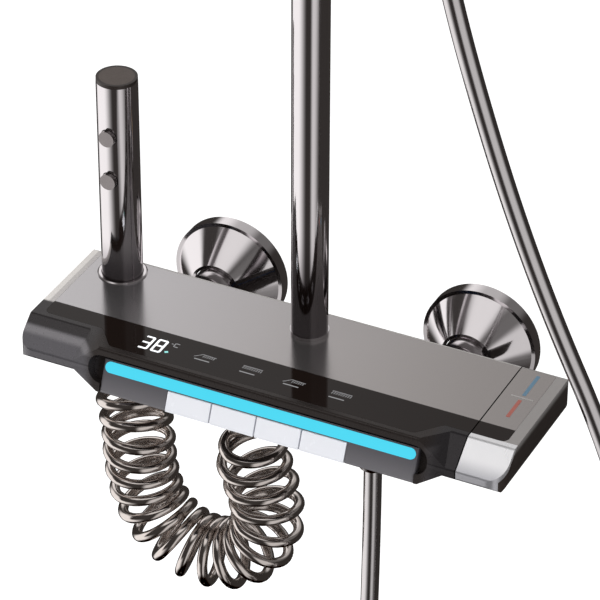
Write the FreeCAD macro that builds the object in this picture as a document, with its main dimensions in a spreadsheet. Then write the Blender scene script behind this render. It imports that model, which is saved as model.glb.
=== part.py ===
# Shower system: a shelf mixer with piano keys and a light bar, a sprayer on a curly hose, and a
# riser that carries a rain head and a hand shower. Everything is in millimetres. +X is to the
# right, the front faces -Y, the wall is the plane y = 0, and the origin lies on the wall, midway
# between the two inlets and level with them.
import FreeCAD, Part
import math
import os
import Sketcher

os.makedirs("parts", exist_ok=True)
doc = FreeCAD.newDocument("shower_system")
sheet = doc.addObject("Spreadsheet::Sheet", "Sizes")

SIZES = (
    ("inlet_spacing", 150.0, "between the two wall inlets"),
    ("wall_thread_radius", 10.4, "male thread that enters the wall fitting"),
    ("wall_thread_length", 13.0, "how far that thread stands behind the wall face"),
    ("waterway", 5.5, "radius of the bores that carry water"),
    ("union_tube_radius", 7.8, "tube of the wall union"),
    ("union_flange_radius", 9.8, "flange that the union nut pulls on"),
    ("union_flange_depth", 2.2, "thickness of that flange"),
    ("union_reach", 34.0, "from the wall to the front of the flange"),
    ("filter_depth", 1.5, "filter washer in each union"),
    ("nut_clearance", 0.3, "between a union nut and what it turns on"),
    ("nut_wall", 1.3, "wall of a union nut"),
    ("nut_length", 17.0, "length of a union nut"),
    ("rosette_radius", 32.6, "wall rosette, outside"),
    ("rosette_rim", 7.4, "straight rim of the rosette"),
    ("rosette_step", 2.1, "flat ring between the rim and the cone"),
    ("rosette_depth", 23.4, "wall to the narrow end of the cone"),
    ("rosette_neck", 15.0, "radius at the narrow end of the cone"),
    ("rosette_wall", 1.6, "sheet of the rosette"),
    ("neck_radius", 13.0, "sleeve behind the shelf, at its waist"),
    ("neck_flare", 3.9, "how much the sleeve widens to the shelf"),
    ("neck_waist", 27.3, "from the wall to where the flare starts"),
    ("neck_start", 15.0, "from the wall to the hidden end of the sleeve"),
    ("neck_gap", 0.3, "between the sleeve and the rosette"),
    ("top_height", 17.0, "top of the shelf over the inlet axis"),
    ("shelf_left", 140.8, "left end of the shelf from its middle"),
    ("shelf_right", 139.5, "right end of the shelf, on the handle"),
    ("shelf_back", 39.5, "wall to the back of the shelf"),
    ("shelf_thickness", 22.0, "thickness of the shelf"),
    ("shelf_depth", 70.0, "back of the shelf to the top front edge of the wings"),
    ("wing_slope_run", 15.0, "how far the lip of the wings stands in front of that edge"),
    ("wing_slope_drop", 12.5, "height of the sloping face of the wings"),
    ("wing_lip_height", 4.5, "height of the lip"),
    ("wing_under_set", 6.0, "lip of the wings to where the underside starts"),
    ("wing_edge_round", 2.5, "rounding of the top front edge"),
    ("wing_lip_round", 1.5, "rounding of the lip"),
    ("end_round", 6.5, "rounding under the two ends"),
    ("front_corner_left", 7.5, "round front corner of the left wing, from above"),
    ("front_corner_right", 9.5, "round front corner of the handle, from above"),
    ("back_round", 1.0, "rounding of the back edges"),
    ("casing_wall", 3.0, "walls of the casing"),
    ("floor_wall", 2.5, "floor of the casing"),
    ("panel_ledge", 2.0, "ledge that the top panel and the glass lie on"),
    ("panel_thickness", 2.0, "top panel and display glass"),
    ("panel_left", 134.6, "left edge of the panel from the middle"),
    ("panel_right", 133.4, "right edge of the panel from the middle"),
    ("panel_back_set", 1.5, "back of the shelf to the back edge of the panel"),
    ("glass_wing_depth", 11.6, "display glass from back to front in the wings"),
    ("panel_gap", 0.1, "joint round the panel and the glass"),
    ("glass_wing_set", 3.5, "top front edge of the wings to the front of the glass"),
    ("glass_nose_set", 3.8, "front edge of the nose to the front of the glass"),
    ("glass_nose_half", 88.0, "half of the front edge of the glass"),
    ("glass_root_half", 99.0, "half of the glass where the nose starts"),
    ("glass_corner", 4.0, "round corners of the glass"),
    ("glass_room", 3.8, "room for the display under the glass"),
    ("digits_left", 75.9, "left edge of the digit module from the middle"),
    ("digits_width", 16.1, "digit module"),
    ("digits_set", 4.2, "front of the glass to the front of the digit module"),
    ("digits_depth", 16.2, "digit module from front to back"),
    ("digits_thickness", 2.0, "digit module"),
    ("board_margin", 4.0, "edge of the glass to the edge of the board"),
    ("board_thickness", 1.6, "display board"),
    ("nose_top_half", 91.5, "half of the front edge of the nose"),
    ("nose_lip_run", 13.3, "top front edge of the wings to the front edge of the nose"),
    ("nose_lip_round", 1.6, "rounding of the lip of the nose"),
    ("nose_root_half", 104.0, "half of the nose where it leaves the wings"),
    ("nose_foot_half", 107.5, "half of the nose where its side meets the lip of the wings"),
    ("nose_foot_drop", 11.8, "top of the shelf to that place"),
    ("nose_under_drop", 16.4, "top of the shelf to where the slanted underside of the nose starts"),
    ("nose_chin_half", 93.0, "half of the nose at the chin"),
    ("nose_chin_run", 3.0, "how far the chin stands in front of that edge"),
    ("nose_drop", 26.3, "height of the nose"),
    ("nose_heel_set", 19.8, "chin to the heel of the nose"),
    ("face_foot_set", 0.4, "chin to the foot of the sloping key face"),
    ("face_foot_drop", 25.2, "top of the shelf to that foot"),
    ("face_slope_degrees", 67.0, "slope of the key face from level"),
    ("recess_depth", 4.0, "recess under the key face"),
    ("recess_half", 98.0, "half of the recess"),
    ("recess_low", 4.0, "foot of the key face to the lower edge of the recess"),
    ("recess_top", 20.1, "foot of the key face to the upper edge of the recess"),
    ("recess_corner", 7.5, "round corners of the recess"),
    ("block_half", 91.2, "half of the key block"),
    ("block_top", 17.6, "foot of the key face to the upper edge of the block"),
    ("block_round", 1.6, "rounding of the front edges of the block"),
    ("bar_length", 179.6, "light bar, end to end"),
    ("bar_height", 6.0, "light bar, across"),
    ("bar_depth", 1.8, "light bar, thickness"),
    ("bar_stand", 0.3, "light bar over the key face"),
    ("bar_foot", 10.6, "foot of the key face to the lower edge of the bar"),
    ("bar_gap", 0.1, "seat of the light bar"),
    ("lamp_depth", 0.8, "lamp strip behind the light bar"),
    ("key_pitch", 26.1, "from key to key"),
    ("key_gap", 0.9, "between two keys"),
    ("key_height", 9.6, "foot of the key face to the top of a key"),
    ("key_chin", 1.3, "straight edge under the face of a key"),
    ("key_skirt", 4.0, "thickness of a key at its chin"),
    ("key_floor", 2.4, "floor of the nose under the tails of the keys"),
    ("key_tail", 13.4, "foot of the key face to the back of a key"),
    ("key_travel", 3.0, "how far a key is pressed in"),
    ("key_lug", 2.5, "thickness of the lug that carries the push rod"),
    ("key_clearance", 0.4, "between the keys and what is round them"),
    ("key_rod_radius", 2.0, "push rod of a key"),
    ("key_rod_length", 18.0, "push rod of a key, behind its lug"),
    ("key_rod_height", 1.9, "push rod over the inlet axis"),
    ("rod_clearance", 0.3, "round the push rod"),
    ("key_valve_radius", 4.0, "valve cartridge of a key"),
    ("key_valve_set", 8.5, "back of a key to the front of its cartridge"),
    ("key_valve_length", 13.5, "cartridge of a key in front of the manifold"),
    ("spring_wire", 0.6, "wall of a key spring"),
    ("spring_gap", 0.2, "slack at the ends of a spring"),
    ("body_radius", 10.0, "main tube of the valve body"),
    ("body_reach", 60.0, "wall to the axis of the main tube"),
    ("body_drop", 8.0, "main tube under the inlet axis"),
    ("body_left", 88.0, "left end of the main tube"),
    ("body_right", 56.0, "right end of the main tube"),
    ("manifold_half", 53.2, "half width of the manifold"),
    ("manifold_top", 9.5, "top of the manifold over the inlet axis"),
    ("thermo_radius", 7.2, "thermostatic cartridge"),
    ("thermo_wall", 1.0, "chamber round the cartridge"),
    ("thermo_left", 62.0, "left end of the cartridge"),
    ("thermo_right", 104.0, "right end of the cartridge"),
    ("handle_reach", 78.0, "wall to the axis of the handle"),
    ("handle_drop", 11.0, "top of the shelf to the axis of the handle"),
    ("spindle_radius", 4.0, "spindle of the cartridge"),
    ("spindle_end", 130.0, "end of the spindle from the middle"),
    ("spindle_fit", 0.05, "running fit of the spindle"),
    ("handle_joint", 113.2, "joint between shelf and handle"),
    ("handle_gap", 0.7, "gap at that joint"),
    ("handle_skin", 2.4, "thickness of the silver handle front"),
    ("sprayer_left", 115.9, "axis of the sprayer from the middle"),
    ("sprayer_reach", 53.0, "wall to the axis of the sprayer"),
    ("sprayer_radius", 11.2, "sprayer tube"),
    ("sprayer_wall", 1.4, "wall of the sprayer tube"),
    ("sprayer_top", 138.7, "top of the sprayer over the inlet axis"),
    ("sprayer_cap", 2.0, "spray plate on top of the sprayer"),
    ("sprayer_clearance", 0.3, "between sprayer and collar"),
    ("collar_wall", 1.4, "collar of the sprayer"),
    ("collar_rim", 0.7, "rim of the collar beyond its wall"),
    ("collar_stand", 0.9, "rim of the collar over the panel"),
    ("collar_foot", 4.0, "seat at the foot of the collar"),
    ("collar_drop", 8.0, "foot of the collar under the inlet axis"),
    ("spray_button_radius", 4.5, "sprayer buttons"),
    ("spray_button_stand", 2.4, "buttons over the sprayer tube"),
    ("spray_button_high", 107.1, "upper button over the inlet axis"),
    ("spray_button_low", 80.9, "lower button over the inlet axis"),
    ("spray_button_clearance", 0.3, "round the buttons"),
    ("spray_core_radius", 4.0, "valve core inside the sprayer"),
    ("spray_core_bore", 2.4, "bore of the valve core"),
    ("spray_button_depth", 3.4, "button under the outside of the sprayer"),
    ("spray_spring_radius", 2.8, "button springs"),
    ("spray_spring_bore", 1.9, "bore of the button springs"),
    ("curl_nut_radius", 8.0, "nuts of the curly hose"),
    ("curl_nut_length", 20.0, "nuts of the curly hose"),
    ("curl_nut_narrow", 4.8, "narrow ends of those nuts"),
    ("curl_nut_shoulder", 11.0, "top of those nuts to where they narrow"),
    ("curl_thread_length", 6.4, "male thread of the curly hose outlet"),
    ("curl_wire", 6.0, "curly hose, outside"),
    ("curl_stub", 6.2, "straight run of the curly hose at each nut"),
    ("curl_radius", 17.9, "mean radius of a curl"),
    ("curl_pitch", 10.6, "from curl to curl under the sprayer"),
    ("curl_outlet_pitch", 13.9, "from curl to curl near the outlet"),
    ("curl_ramp", 12.0, "length over which the curls open at each end of the hose"),
    ("curl_outlet_left", 33.0, "curly hose outlet from the middle"),
    ("curl_outlet_reach", 68.0, "wall to the curly hose outlet"),
    ("outlet_bottom", 30.0, "outlets under the inlet axis"),
    ("hose_radius", 5.0, "shower hose"),
    ("hose_outlet_right", 43.0, "hose outlet from the middle"),
    ("hose_outlet_reach", 70.0, "wall to the hose outlet"),
    ("hose_nut_radius", 12.0, "nut of the shower hose at its wide end"),
    ("hose_nut_narrow", 7.5, "nut of the shower hose at its narrow end"),
    ("hose_nut_length", 26.0, "nut of the shower hose"),
    ("hose_nut_shoulder", 7.8, "top of that nut to where it narrows"),
    ("hose_thread_radius", 10.4, "male thread of the hose outlet"),
    ("hose_thread_length", 8.0, "length of that thread"),
    ("housing_half", 98.0, "half width of the lower housing"),
    ("housing_front", 88.0, "wall to the front of the lower housing"),
    ("housing_drop", 20.5, "underside of the lower housing"),
    ("housing_wall", 2.0, "walls of the lower housing"),
    ("housing_corner", 6.0, "round corners of the lower housing"),
    ("housing_screw_right", 93.6, "housing screws from the middle"),
    ("housing_screw_reach", 84.0, "wall to the housing screws"),
    ("spout_reach", 70.0, "wall to the axis of the bottom spout"),
    ("spout_right", 72.0, "bottom spout from the middle"),
    ("spout_radius", 10.0, "bottom spout"),
    ("spout_length", 14.0, "bottom spout"),
    ("spout_stem", 7.5, "threaded outlet that the spout is screwed on"),
    ("spout_bore", 5.0, "bore of the bottom spout"),
    ("screw_radius", 1.5, "casing screws"),
    ("screw_head", 2.8, "heads of the casing screws"),
    ("screw_length", 17.0, "casing screws"),
    ("riser_reach", 59.6, "wall to the axis of the riser"),
    ("riser_radius", 9.9, "riser pipe"),
    ("riser_wall", 1.2, "wall of the riser pipe"),
    ("riser_socket", 2.5, "wall of the socket that the riser stands in"),
    ("riser_collar_radius", 10.4, "bright ring at the foot of the riser"),
    ("riser_collar_height", 2.0, "bright ring at the foot of the riser"),
    ("riser_joint_height", 560.0, "joint of the two riser pipes"),
    ("riser_joint_length", 26.0, "narrowed end of the upper pipe, half of it in the lower pipe"),
    ("arm_height", 930.0, "axis of the overhead arm"),
    ("arm_bend", 60.0, "bend between riser and arm"),
    ("arm_reach", 400.0, "wall to the axis of the rain head"),
    ("bracket_drop", 90.0, "axis of the overhead arm to the axis of the wall bracket"),
    ("bracket_rod", 8.0, "rod of the bracket"),
    ("bracket_ring_wall", 3.0, "ring of the bracket round the riser"),
    ("bracket_ring_height", 20.0, "ring of the bracket"),
    ("bracket_plate_radius", 26.0, "wall plate of the bracket"),
    ("bracket_plate_depth", 7.0, "wall plate of the bracket"),
    ("bracket_screw_spacing", 32.0, "between the two bracket screws"),
    ("bracket_screw_radius", 2.2, "thread of the bracket screws"),
    ("bracket_screw_shank", 1.9, "bracket screws in the wall plate"),
    ("bracket_screw_head", 4.4, "heads of the bracket screws"),
    ("bracket_screw_length", 30.0, "bracket screws in the wall"),
    ("ball_radius", 11.0, "ball joint of the rain head"),
    ("ball_neck", 6.0, "stem over the ball"),
    ("ball_bore", 3.0, "bore through the stem and the ball"),
    ("ball_drop", 26.0, "arm axis to the centre of the ball"),
    ("ball_cup_gap", 0.1, "running fit of the ball in its cup"),
    ("cup_radius", 15.5, "cup that holds the ball"),
    ("cup_stand", 7.5, "cup over the centre of the ball"),
    ("cup_mouth", 3.7, "centre of the ball to where the mouth of the cup opens"),
    ("head_radius", 125.0, "rain head"),
    ("head_crown", 44.0, "flat middle of the rain head, from above"),
    ("head_thickness", 8.0, "rain head shell"),
    ("head_edge", 4.0, "straight edge of the rain head"),
    ("head_drop", 18.0, "centre of the ball to the top of the head"),
    ("face_radius", 119.0, "nozzle face of the rain head"),
    ("face_depth", 3.0, "nozzle face of the rain head"),
    ("slider_height", 640.0, "axis of the slider"),
    ("slider_radius", 15.5, "slider round the riser"),
    ("slider_length", 46.0, "slider along the riser"),
    ("slider_fit", 0.1, "running fit of the slider on the riser"),
    ("slider_knob_radius", 10.0, "clamp knob"),
    ("slider_knob_length", 15.0, "clamp knob"),
    ("clamp_screw_radius", 3.0, "screw of the clamp knob"),
    ("clamp_gap", 0.4, "between the slider and what turns on it"),
    ("slider_stub_radius", 7.0, "pivot stub of the slider"),
    ("slider_stub_end", 28.0, "end of the pivot stub from the middle"),
    ("holder_right", 45.0, "holder from the middle"),
    ("holder_reach", 70.0, "wall to the middle of the holder"),
    ("holder_radius", 15.2, "holder cup"),
    ("holder_length", 28.0, "holder cup"),
    ("holder_wall", 2.8, "wall of the hub of the holder"),
    ("holder_clearance", 0.3, "between the holder and the handset"),
    ("holder_slot", 11.4, "slot in the front of the holder"),
    ("handset_lean_degrees", 12.0, "lean of the handset"),
    ("handset_handle_radius", 11.4, "handle of the handset"),
    ("handset_below", 58.0, "middle of the holder to the foot of the handle"),
    ("handset_above", 165.0, "middle of the holder to the middle of the spray head"),
    ("handset_top", 126.6, "middle of the holder to the hidden end of the handle"),
    ("handset_head_radius", 48.0, "spray head of the handset"),
    ("handset_head_depth", 20.0, "spray head of the handset"),
    ("handset_face_radius", 42.0, "spray face of the handset"),
    ("handset_face_depth", 3.0, "spray face of the handset"),
    ("overrun", 1.0, "how far a cutting tool runs past what it cuts"),
)


class Length:
    """A size together with the sheet expression that it comes from."""

    def __init__(self, number, text):
        self.number = number
        self.text = text

    def __add__(self, other):
        return Length(self.number + other.number, "(" + self.text + " + " + other.text + ")")

    def __sub__(self, other):
        return Length(self.number - other.number, "(" + self.text + " - " + other.text + ")")

    def __neg__(self):
        return Length(-self.number, "(0 - " + self.text + ")")

    def __mul__(self, share):
        return Length(self.number * share, "(" + self.text + " * " + repr(share) + ")")

    def __truediv__(self, share):
        return Length(self.number / share, "(" + self.text + " / " + repr(share) + ")")


class Sizes:
    """The cells of the sheet, each as a Length under its own name."""


for row, (alias, number, meaning) in enumerate(SIZES, 1):
    sheet.set("A" + str(row), alias)
    sheet.set("B" + str(row), str(number))
    sheet.set("C" + str(row), meaning)
    sheet.setAlias("B" + str(row), alias)
doc.recompute()
s = Sizes()
for alias, number, meaning in SIZES:
    setattr(s, alias, Length(float(getattr(sheet, alias)), "Sizes." + alias))

ZERO = Length(0.0, "0")
ORIGIN = (ZERO, ZERO, ZERO)
X_AXIS = FreeCAD.Vector(1, 0, 0)
Y_AXIS = FreeCAD.Vector(0, 1, 0)
Z_AXIS = FreeCAD.Vector(0, 0, 1)
UPRIGHT = FreeCAD.Rotation()
FORWARD = FreeCAD.Rotation(X_AXIS, 90)
RIGHTWARD = FreeCAD.Rotation(Y_AXIS, 90)
LEFTWARD = FreeCAD.Rotation(Y_AXIS, -90)
FACE_TURN = FreeCAD.Rotation(X_AXIS, s.face_slope_degrees.number)
HANDSET_TURN = FreeCAD.Rotation(X_AXIS, s.handset_lean_degrees.number)
NEARNESS = 0.01
ALIGNED = 0.99
nodes = []


def placed(item, at, turn=UPRIGHT):
    """Turn an object and bind its place to the sheet."""
    item.Placement = FreeCAD.Placement(FreeCAD.Vector(), turn)
    for axis, length in zip("xyz", at):
        item.setExpression("Placement.Base." + axis, length.text)
    return item


def cylinder(name, radius, height, at=ORIGIN, turn=UPRIGHT):
    item = doc.addObject("Part::Cylinder", name)
    item.setExpression("Radius", radius.text)
    item.setExpression("Height", height.text)
    return placed(item, at, turn)


def cone(name, first_radius, last_radius, height, at=ORIGIN, turn=UPRIGHT):
    item = doc.addObject("Part::Cone", name)
    item.setExpression("Radius1", first_radius.text)
    item.setExpression("Radius2", last_radius.text)
    item.setExpression("Height", height.text)
    return placed(item, at, turn)


def ball(name, radius, at=ORIGIN):
    item = doc.addObject("Part::Sphere", name)
    item.setExpression("Radius", radius.text)
    return placed(item, at)


def box(name, width, depth, height, at=ORIGIN, turn=UPRIGHT):
    item = doc.addObject("Part::Box", name)
    item.setExpression("Length", width.text)
    item.setExpression("Width", depth.text)
    item.setExpression("Height", height.text)
    return placed(item, at, turn)


def block(name, left, right, front, back, low, high):
    """A box between six planes: x from left to right, y from front to back, z from low to high."""
    return box(name, right - left, back - front, high - low, (left, front, low))


def joined(name, items):
    item = doc.addObject("Part::MultiFuse", name)
    item.Shapes = items
    item.Refine = True
    return item


def cut(name, base, tools):
    """What is left of base outside all the tools."""
    item = doc.addObject("Part::Cut", name)
    item.Base = base
    item.Tool = tools[0] if len(tools) == 1 else joined(name + "_tools", tools)
    item.Refine = True
    return item


def common(name, first, second):
    item = doc.addObject("Part::Common", name)
    item.Base = first
    item.Tool = second
    return item


def tube(name, radius, bore, height, at=ORIGIN, turn=UPRIGHT):
    outside = cylinder(name + "_outside", radius, height)
    inside = cylinder(name + "_inside", bore, height + s.overrun + s.overrun, (ZERO, ZERO, -s.overrun))
    return placed(cut(name, outside, [inside]), at, turn)


def sketch_on(body, name, role, outline, offset):
    """A closed outline of bound points on one of the body's own planes."""
    sketch = body.newObject("Sketcher::SketchObject", name)
    plane = [feature for feature in body.Origin.OriginFeatures if feature.Role == role][0]
    sketch.AttachmentSupport = (plane, "")
    sketch.MapMode = "FlatFace"
    sketch.setExpression(".AttachmentOffset.Base.z", offset.text)
    count = len(outline)
    for first in range(count):
        here = outline[first]
        there = outline[(first + 1) % count]
        start = FreeCAD.Vector(here[0].number, here[1].number, 0)
        finish = FreeCAD.Vector(there[0].number, there[1].number, 0)
        sketch.addGeometry(Part.LineSegment(start, finish))
    for first in range(count):
        sketch.addConstraint(Sketcher.Constraint("Coincident", first, 2, (first + 1) % count, 1))
    for first, point in enumerate(outline):
        for kind, length in zip(("DistanceX", "DistanceY"), point):
            place = sketch.addConstraint(Sketcher.Constraint(kind, first, 1, length.number))
            sketch.setExpression("Constraints[" + str(place) + "]", length.text)
    return sketch


def padded(name, role, outline, length, offset=ZERO):
    """A body padded along the normal of one of its planes."""
    body = doc.addObject("PartDesign::Body", name)
    pad = body.newObject("PartDesign::Pad", name + "_pad")
    pad.Profile = sketch_on(body, name + "_outline", role, outline, offset)
    pad.setExpression("Length", length.text)
    doc.recompute()
    return body


def turned(name, outline, at=ORIGIN, turn=UPRIGHT):
    """A body turned round its own Z axis from an outline of radii and heights."""
    body = doc.addObject("PartDesign::Body", name)
    sketch = sketch_on(body, name + "_outline", "XZ_Plane", outline, ZERO)
    revolution = body.newObject("PartDesign::Revolution", name + "_revolution")
    revolution.Profile = sketch
    revolution.ReferenceAxis = (sketch, ["V_Axis"])
    revolution.Angle = 360
    return placed(body, at, turn)


def rounded(body, name, radius, chosen):
    """Fillet those edges of a body that the test called chosen picks by their middle and direction."""
    doc.recompute()
    picked = []
    for place, edge in enumerate(body.Shape.Edges, 1):
        middle = edge.valueAt((edge.FirstParameter + edge.LastParameter) / 2)
        along = edge.valueAt(edge.LastParameter) - edge.valueAt(edge.FirstParameter)
        if along.Length > 0 and chosen(middle, along.normalize()):
            picked.append("Edge" + str(place))
    before = body.Tip
    fillet = body.newObject("PartDesign::Fillet", name)
    fillet.Base = (before, picked)
    fillet.setExpression("Radius", radius.text)
    doc.recompute()
    return body


def near(first, second):
    return abs(first - second) < NEARNESS


def node(item, label):
    """Name a finished piece and put it on the list of those that are written."""
    item.Label = label
    nodes.append(item)
    return item


def shape_feature(name, shape, at=ORIGIN, turn=UPRIGHT):
    item = doc.addObject("Part::Feature", name)
    item.Shape = shape
    return placed(item, at, turn)


# Places that several pieces share
wing_top_reach = s.shelf_back + s.shelf_depth
wing_lip_reach = wing_top_reach + s.wing_slope_run
wing_under_reach = wing_lip_reach - s.wing_under_set
glass_wing_reach = wing_top_reach - s.glass_wing_set
panel_front = glass_wing_reach - s.glass_wing_depth
panel_back = s.shelf_back + s.panel_back_set
nose_lip_reach = wing_top_reach + s.nose_lip_run
nose_chin_reach = nose_lip_reach + s.nose_chin_run
nose_heel_reach = nose_chin_reach - s.nose_heel_set
glass_nose_reach = nose_lip_reach - s.glass_nose_set
digits_reach = glass_nose_reach - s.digits_set
face_foot_reach = nose_chin_reach - s.face_foot_set
key_back = face_foot_reach - s.key_tail
key_valve_front = key_back - s.key_valve_set
manifold_front = key_valve_front - s.key_valve_length
shelf_bottom = s.top_height - s.shelf_thickness
panel_seat = s.top_height - s.panel_thickness
inlet_right = s.inlet_spacing / 2
lip_top = s.top_height - s.wing_slope_drop
lip_bottom = lip_top - s.wing_lip_height
back_inside = s.shelf_back + s.casing_wall
handle_start = s.handle_joint + s.handle_gap
SIDES = (("left", -1.0), ("right", 1.0))

# Wall unions: a male thread for the wall fitting, a tube and the flange that the nut pulls on
spigot_start = s.union_reach + s.filter_depth
unions = []
for side, sign in SIDES:
    unions.append(turned(side + "_union_body", (
        (s.waterway, -s.wall_thread_length),
        (s.wall_thread_radius, -s.wall_thread_length),
        (s.wall_thread_radius, ZERO),
        (s.union_tube_radius, s.wall_thread_radius - s.union_tube_radius),
        (s.union_tube_radius, s.union_reach - s.union_flange_depth),
        (s.union_flange_radius, s.union_reach - s.union_flange_depth),
        (s.union_flange_radius, s.union_reach),
        (s.waterway, s.union_reach),
    ), (inlet_right * sign, ZERO, ZERO), FORWARD))
node(joined("unions_pair", unions), "wall_unions")

# Union nuts, with the filter washer that each presses between flange and spigot
nut_bore = s.union_flange_radius + s.nut_clearance
nut_radius = nut_bore + s.nut_wall
nut_start = s.union_reach - s.union_flange_depth - s.nut_wall
nuts = []
filters = []
for side, sign in SIDES:
    nuts.append(turned(side + "_nut_body", (
        (s.union_tube_radius + s.nut_clearance, nut_start),
        (nut_radius, nut_start),
        (nut_radius, nut_start + s.nut_length),
        (nut_bore, nut_start + s.nut_length),
        (nut_bore, s.union_reach - s.union_flange_depth),
        (s.union_tube_radius + s.nut_clearance, s.union_reach - s.union_flange_depth),
    ), (inlet_right * sign, ZERO, ZERO), FORWARD))
    filters.append(tube(side + "_filter", s.union_flange_radius, s.waterway, s.filter_depth,
                        (inlet_right * sign, -s.union_reach, ZERO), FORWARD))
node(joined("nuts_pair", nuts), "union_nuts")
node(joined("filters_pair", filters), "inlet_filters")

# Rosettes: a straight rim against the wall, a flat step and a cone
for side, sign in SIDES:
    inner_rim = s.rosette_rim - s.rosette_wall
    rosette = turned(side + "_rosette_body", (
        (s.rosette_radius - s.rosette_wall, ZERO),
        (s.rosette_radius, ZERO),
        (s.rosette_radius, s.rosette_rim),
        (s.rosette_radius - s.rosette_step, s.rosette_rim),
        (s.rosette_neck, s.rosette_depth),
        (s.neck_radius + s.neck_gap, s.rosette_depth),
        (s.neck_radius + s.neck_gap, s.rosette_depth - s.rosette_wall),
        (s.rosette_radius - s.rosette_step - s.rosette_wall, inner_rim),
        (s.rosette_radius - s.rosette_wall, inner_rim),
    ), (inlet_right * sign, ZERO, ZERO), FORWARD)
    node(rosette, side + "_rosette")

# Neck sleeves: hollow at the waist like a trumpet, from inside the rosette to the shelf
flare_run = s.shelf_back - s.neck_waist
flare_radius = (s.neck_flare.number ** 2 + flare_run.number ** 2) / (2 * s.neck_flare.number)
flare_scale = flare_radius / s.neck_flare.number
necks = []
for side, sign in SIDES:
    flare = doc.addObject("Part::Torus", side + "_flare")
    flare.setExpression("Radius1", (s.neck_radius + s.neck_flare * flare_scale).text)
    flare.setExpression("Radius2", (s.neck_flare * flare_scale).text)
    placed(flare, (ZERO, ZERO, s.neck_waist))
    waist = tube(side + "_waist", s.neck_radius + s.neck_flare + s.overrun, s.neck_radius,
                 s.neck_waist - s.neck_start + s.overrun, (ZERO, ZERO, s.neck_start - s.overrun))
    sleeve = tube(side + "_sleeve", s.neck_radius + s.neck_flare, nut_radius + s.nut_clearance,
                  s.shelf_back - s.neck_start, (ZERO, ZERO, s.neck_start))
    neck = cut(side + "_neck_body", sleeve, [flare, waist])
    necks.append(placed(neck, (inlet_right * sign, ZERO, ZERO), FORWARD))
node(joined("necks_pair", necks), "neck_sleeves")

# Profile of the wings, shared by the casing and the handle
wing_outline = (
    (-s.shelf_back, s.top_height),
    (-wing_top_reach, s.top_height),
    (-wing_lip_reach, lip_top),
    (-wing_lip_reach, lip_bottom),
    (-wing_under_reach, shelf_bottom),
    (-s.shelf_back, shelf_bottom),
)


def along_x(direction):
    return abs(direction.x) > ALIGNED


def wing_rounds(body, name, end_x):
    """Round the long edges of a wing and the lower edge of its end."""
    rounded(body, name + "_end", s.end_round, lambda middle, way: abs(way.y) > ALIGNED
            and near(middle.x, end_x) and near(middle.z, shelf_bottom.number))
    rounded(body, name + "_top", s.wing_edge_round, lambda middle, way: along_x(way)
            and near(middle.y, -wing_top_reach.number) and near(middle.z, s.top_height.number))
    rounded(body, name + "_lip", s.wing_lip_round, lambda middle, way: along_x(way)
            and near(middle.y, -wing_lip_reach.number))
    rounded(body, name + "_back", s.back_round, lambda middle, way: along_x(way)
            and near(middle.y, -s.shelf_back.number) and near(middle.z, s.top_height.number))
    return body


# Nose: the front block between the wings, upright in front, with two slanted sides and a chin
face_share = math.cos(math.radians(s.face_slope_degrees.number))
rise_share = math.sin(math.radians(s.face_slope_degrees.number))
nose_low = s.top_height - s.nose_drop


def on_face(along, out):
    """Y and Z of a point this far up the key face and this far out of it."""
    reach = -face_foot_reach + along * face_share - out * rise_share
    height = s.top_height - s.face_foot_drop + along * rise_share + out * face_share
    return reach, height


def point(x, y, z):
    return FreeCAD.Vector(x.number, y.number, z.number)


def on_front(x, drop):
    """A point on the front of the nose, this far under the top of the shelf."""
    down_share = drop.number / s.nose_drop.number
    reach = nose_lip_reach + (nose_chin_reach - nose_lip_reach) * down_share
    return point(x, -reach, s.top_height - drop)


def side_cut(a, b, c, inside, reach):
    """A thick slab on the far side of the plane through a, b and c, seen from the point inside."""
    normal = (b - a).cross(c - a).normalize()
    if normal.dot(inside - a) > 0:
        normal = normal * -1
    first = (b - a).normalize()
    second = normal.cross(first)
    corners = [a + first * (reach * i) + second * (reach * j) for i, j in ((1, 1), (-1, 1), (-1, -1), (1, -1))]
    return Part.Face(Part.makePolygon(corners + corners[:1])).extrude(normal * reach)


def nose_shape():
    """The nose from its profile, cut to its slanted sides and underside."""
    heel_end = nose_heel_reach - shelf_bottom + nose_low
    profile = [(-panel_front, s.top_height), (-nose_lip_reach, s.top_height), (-nose_chin_reach, nose_low),
               (-nose_heel_reach, nose_low), (-heel_end, shelf_bottom), (-panel_front, shelf_bottom)]
    corners = [point(-s.nose_foot_half, y, z) for y, z in profile]
    width = s.nose_foot_half * 2
    shape = Part.Face(Part.makePolygon(corners + corners[:1])).extrude(X_AXIS * width.number)
    lip = [edge for edge in shape.Edges
           if all(near(vertex.Y, -nose_lip_reach.number) for vertex in edge.Vertexes)]
    shape = shape.makeFillet(s.nose_lip_round.number, lip)
    reach = s.panel_left.number * 2
    inside = FreeCAD.Vector(0, -wing_top_reach.number, 0)
    for side, sign in SIDES:
        top = on_front(s.nose_top_half * sign, ZERO)
        root = point(s.nose_root_half * sign, -wing_top_reach, s.top_height)
        foot = on_front(s.nose_foot_half * sign, s.nose_foot_drop)
        under = on_front(s.nose_foot_half * sign, s.nose_under_drop)
        chin = on_front(s.nose_chin_half * sign, s.nose_drop)
        shape = shape.cut(side_cut(top, root, foot, inside, reach))
        shape = shape.cut(side_cut(under, chin, chin + Y_AXIS, inside, reach))
    return shape


# Casing: the wings and the nose as one shell, open on top under the panel
def plan(name, left, right, end_x, corner):
    """The shelf seen from above between two ends, with the front corner at one end rounded."""
    body = padded(name, "XY_Plane", (
        (left, -wing_lip_reach),
        (right, -wing_lip_reach),
        (right, -s.shelf_back),
        (left, -s.shelf_back),
    ), s.shelf_thickness, shelf_bottom)
    return rounded(body, name + "_corner", corner, lambda middle, way: abs(way.z) > ALIGNED
                   and near(middle.y, -wing_lip_reach.number) and near(middle.x, end_x.number))


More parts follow.
